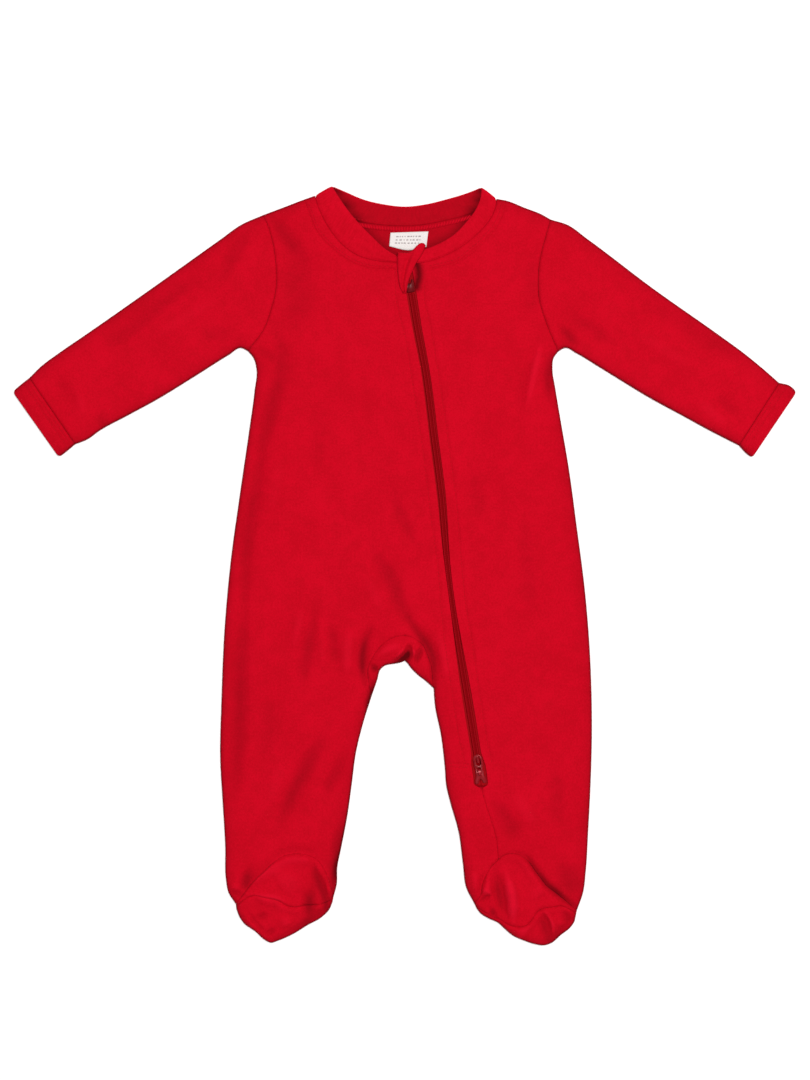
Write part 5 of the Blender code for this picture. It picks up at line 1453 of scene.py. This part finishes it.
# Sewing: rows of thread on the cloth, and the teeth and cords of the coil
stitch = {"top": {"pitch": 2.9, "size": (2.3, 0.55, 0.42), "uneven": 0.12, "seed": 4},
          "cuff": {"pitch": 2.6, "size": (2.0, 0.6, 0.45), "uneven": 0.12, "seed": 7},
          "tooth": {"pitch": zipParts["toothPitch"], "size": (0.85, 2.3, 0.9),
                    "uneven": 0.03, "seed": 2},
          "serged": {"pitch": 1.25, "size": (1.15, 3.7, 0.8), "uneven": 0.1, "seed": 9,
                     "below": 2.6, "level": 1.9, "pointsOff": 16},
          "cord": {"pitch": 1.5, "size": (1.35, 0.4, 0.4), "uneven": 0.06, "seed": 5},
          "lift": 0.1, "rowApart": 2.8}
sewing = {}
lift = stitch["lift"]
frontRows = {"front_right": ["neckRight", "zipRight", "barUpper", "barLower"],
             "front_left": ["neckLeft", "zipLeft"]}
for node, names in frontRows.items():
    lines = [onFront(rows[name][0], lift) for name in names]
    inward = -1 if node == "front_right" else 1
    lines.append(onFront(moved(rows[names[0]][0], inward * stitch["rowApart"])[1:-1], lift))
    sewing[node] = stitched(pieces[node].name + "Stitches", lines, stitch["top"],
                            looks["thread"])
for s in bothSides:
    lines = []
    for by in cuff["stitchedAt"]:
        line = rows[f"cuff{s}{by}"][0]
        lines.append(onFront(line, lift + cuff["rise"])[1:-1])
        lines.append(onUnder(line, lift)[3:-3])
    sewing["cuff_" + s] = stitched("cuffStitches" + s.title(), lines, stitch["cuff"],
                                   looks["thread"])
backBandStitch = curve([(-45.2, 278.6), (-35.4, 276.6), (-20.5, 274.6), (-5, 273.8),
                        (15.4, 274.6), (28.6, 277.4), (45.4, 281)])
sewing["neckband"] = stitched("bandStitches", [onLevel(backBandStitch, band["wall"] + lift)],
                              stitch["top"], looks["thread"])
off = stitch["serged"]["pointsOff"]
serged = moved(curve(backNeckSeam)[off:-off], stitch["serged"]["below"])
sewing["back"] = stitched("sergedEdge", [onLevel(serged, stitch["serged"]["level"])],
                          stitch["serged"], looks["serged"])
toothRows, cordRows = [], []
(coilTop, coilBottom), clear = zipParts["coilEnds"], zipParts["toothClear"]
for which, shift in ((-1, 0), (1, zipParts["toothPitch"] / 2)):
    y = np.arange(coilTop - clear - shift, coilBottom + clear, -1)
    x = zipMiddle(y) + which * zipParts["toothAt"]
    toothRows.append(onLevel(np.column_stack([x, y]), zipParts["toothLevel"]))
    cordRows.append(onLevel(np.column_stack([x + which * zipParts["cordShift"], y]),
                            zipParts["toothLevel"] + zipParts["cordRise"]))
sewing["zip_chain"] = stitched("coilTeeth", toothRows, stitch["tooth"], looks["teeth"])
coilCords = stitched("coilCords", cordRows, stitch["cord"], looks["cord"])
for piece in [*sewing.values(), coilCords]:
    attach(piece, "suit")
print("sewing made")


# Width and length of the flat cut of the sleeves, cuffs, soles and zip tapes; none is kept
def span(loop, turn=0.0):
    about = np.array([[np.cos(turn), np.sin(turn)], [-np.sin(turn), np.cos(turn)]])
    return np.ptp(loop @ about.T, axis=0) * mm


for s in bothSides:
    for node in ("sleeve_" + s, "cuff_" + s):
        size = span(loops[node], sleeveLean(s)) * (2, 1)
    capSize, underSize = span(loops["sole_" + s]), span(loops["sole_under_" + s])
    size = (max(capSize[0], underSize[0]), capSize[1] + underSize[1])
    tapeLength = (zipParts["tapeEnds"][0] - zipParts["tapeEnds"][1]) * mm
    size = (zipParts["tapeWidth"] * mm, tapeLength)

# Floor, lights and camera, in metres: a light is its place, size and power
light = {"key": ((0.25, 0.5, 3.0), 0.9, 84), "fill": ((1.5, 1.2, 1.6), 1.6, 9),
         "low": ((-0.6, -1.6, 1.8), 1.6, 5), "sky": 0.26}
studio = {"floorHalf": 3, "lens": 85, "sensor": 36, "cameraPlace": (0.0006, 0.0204, 2.04)}
floorMesh = bpy.data.meshes.new("floor")
half = studio["floorHalf"]
floorMesh.from_pydata([(-half, -half, 0), (half, -half, 0), (half, half, 0), (-half, half, 0)],
                      [], [(0, 1, 2, 3)])
floor = placed("floor", floorMesh)
floorMesh.materials.append(plainMaterial("floor", 1.0, 0.0))


def areaLight(name, place, size, power):
    data = bpy.data.lights.new(name, "AREA")
    data.size = size
    data.energy = power
    made = placed(name, data)
    made.location = place
    made.rotation_euler = (-Vector(place)).to_track_quat("-Z", "Y").to_euler()


for name in ("key", "fill", "low"):
    areaLight(name, *light[name])
world = bpy.context.scene.world or bpy.data.worlds.new("world")
bpy.context.scene.world = world
world.use_nodes = True
background = world.node_tree.nodes["Background"]
background.inputs["Color"].default_value = (1, 1, 1, 1)
background.inputs["Strength"].default_value = light["sky"]
bpy.context.scene.view_settings.view_transform = "Standard"

lens = bpy.data.cameras.new("camera")
lens.lens = studio["lens"]
lens.sensor_width = studio["sensor"]
camera = placed("camera", lens)
camera.location = studio["cameraPlace"]
bpy.context.scene.camera = camera

print("scene ready")
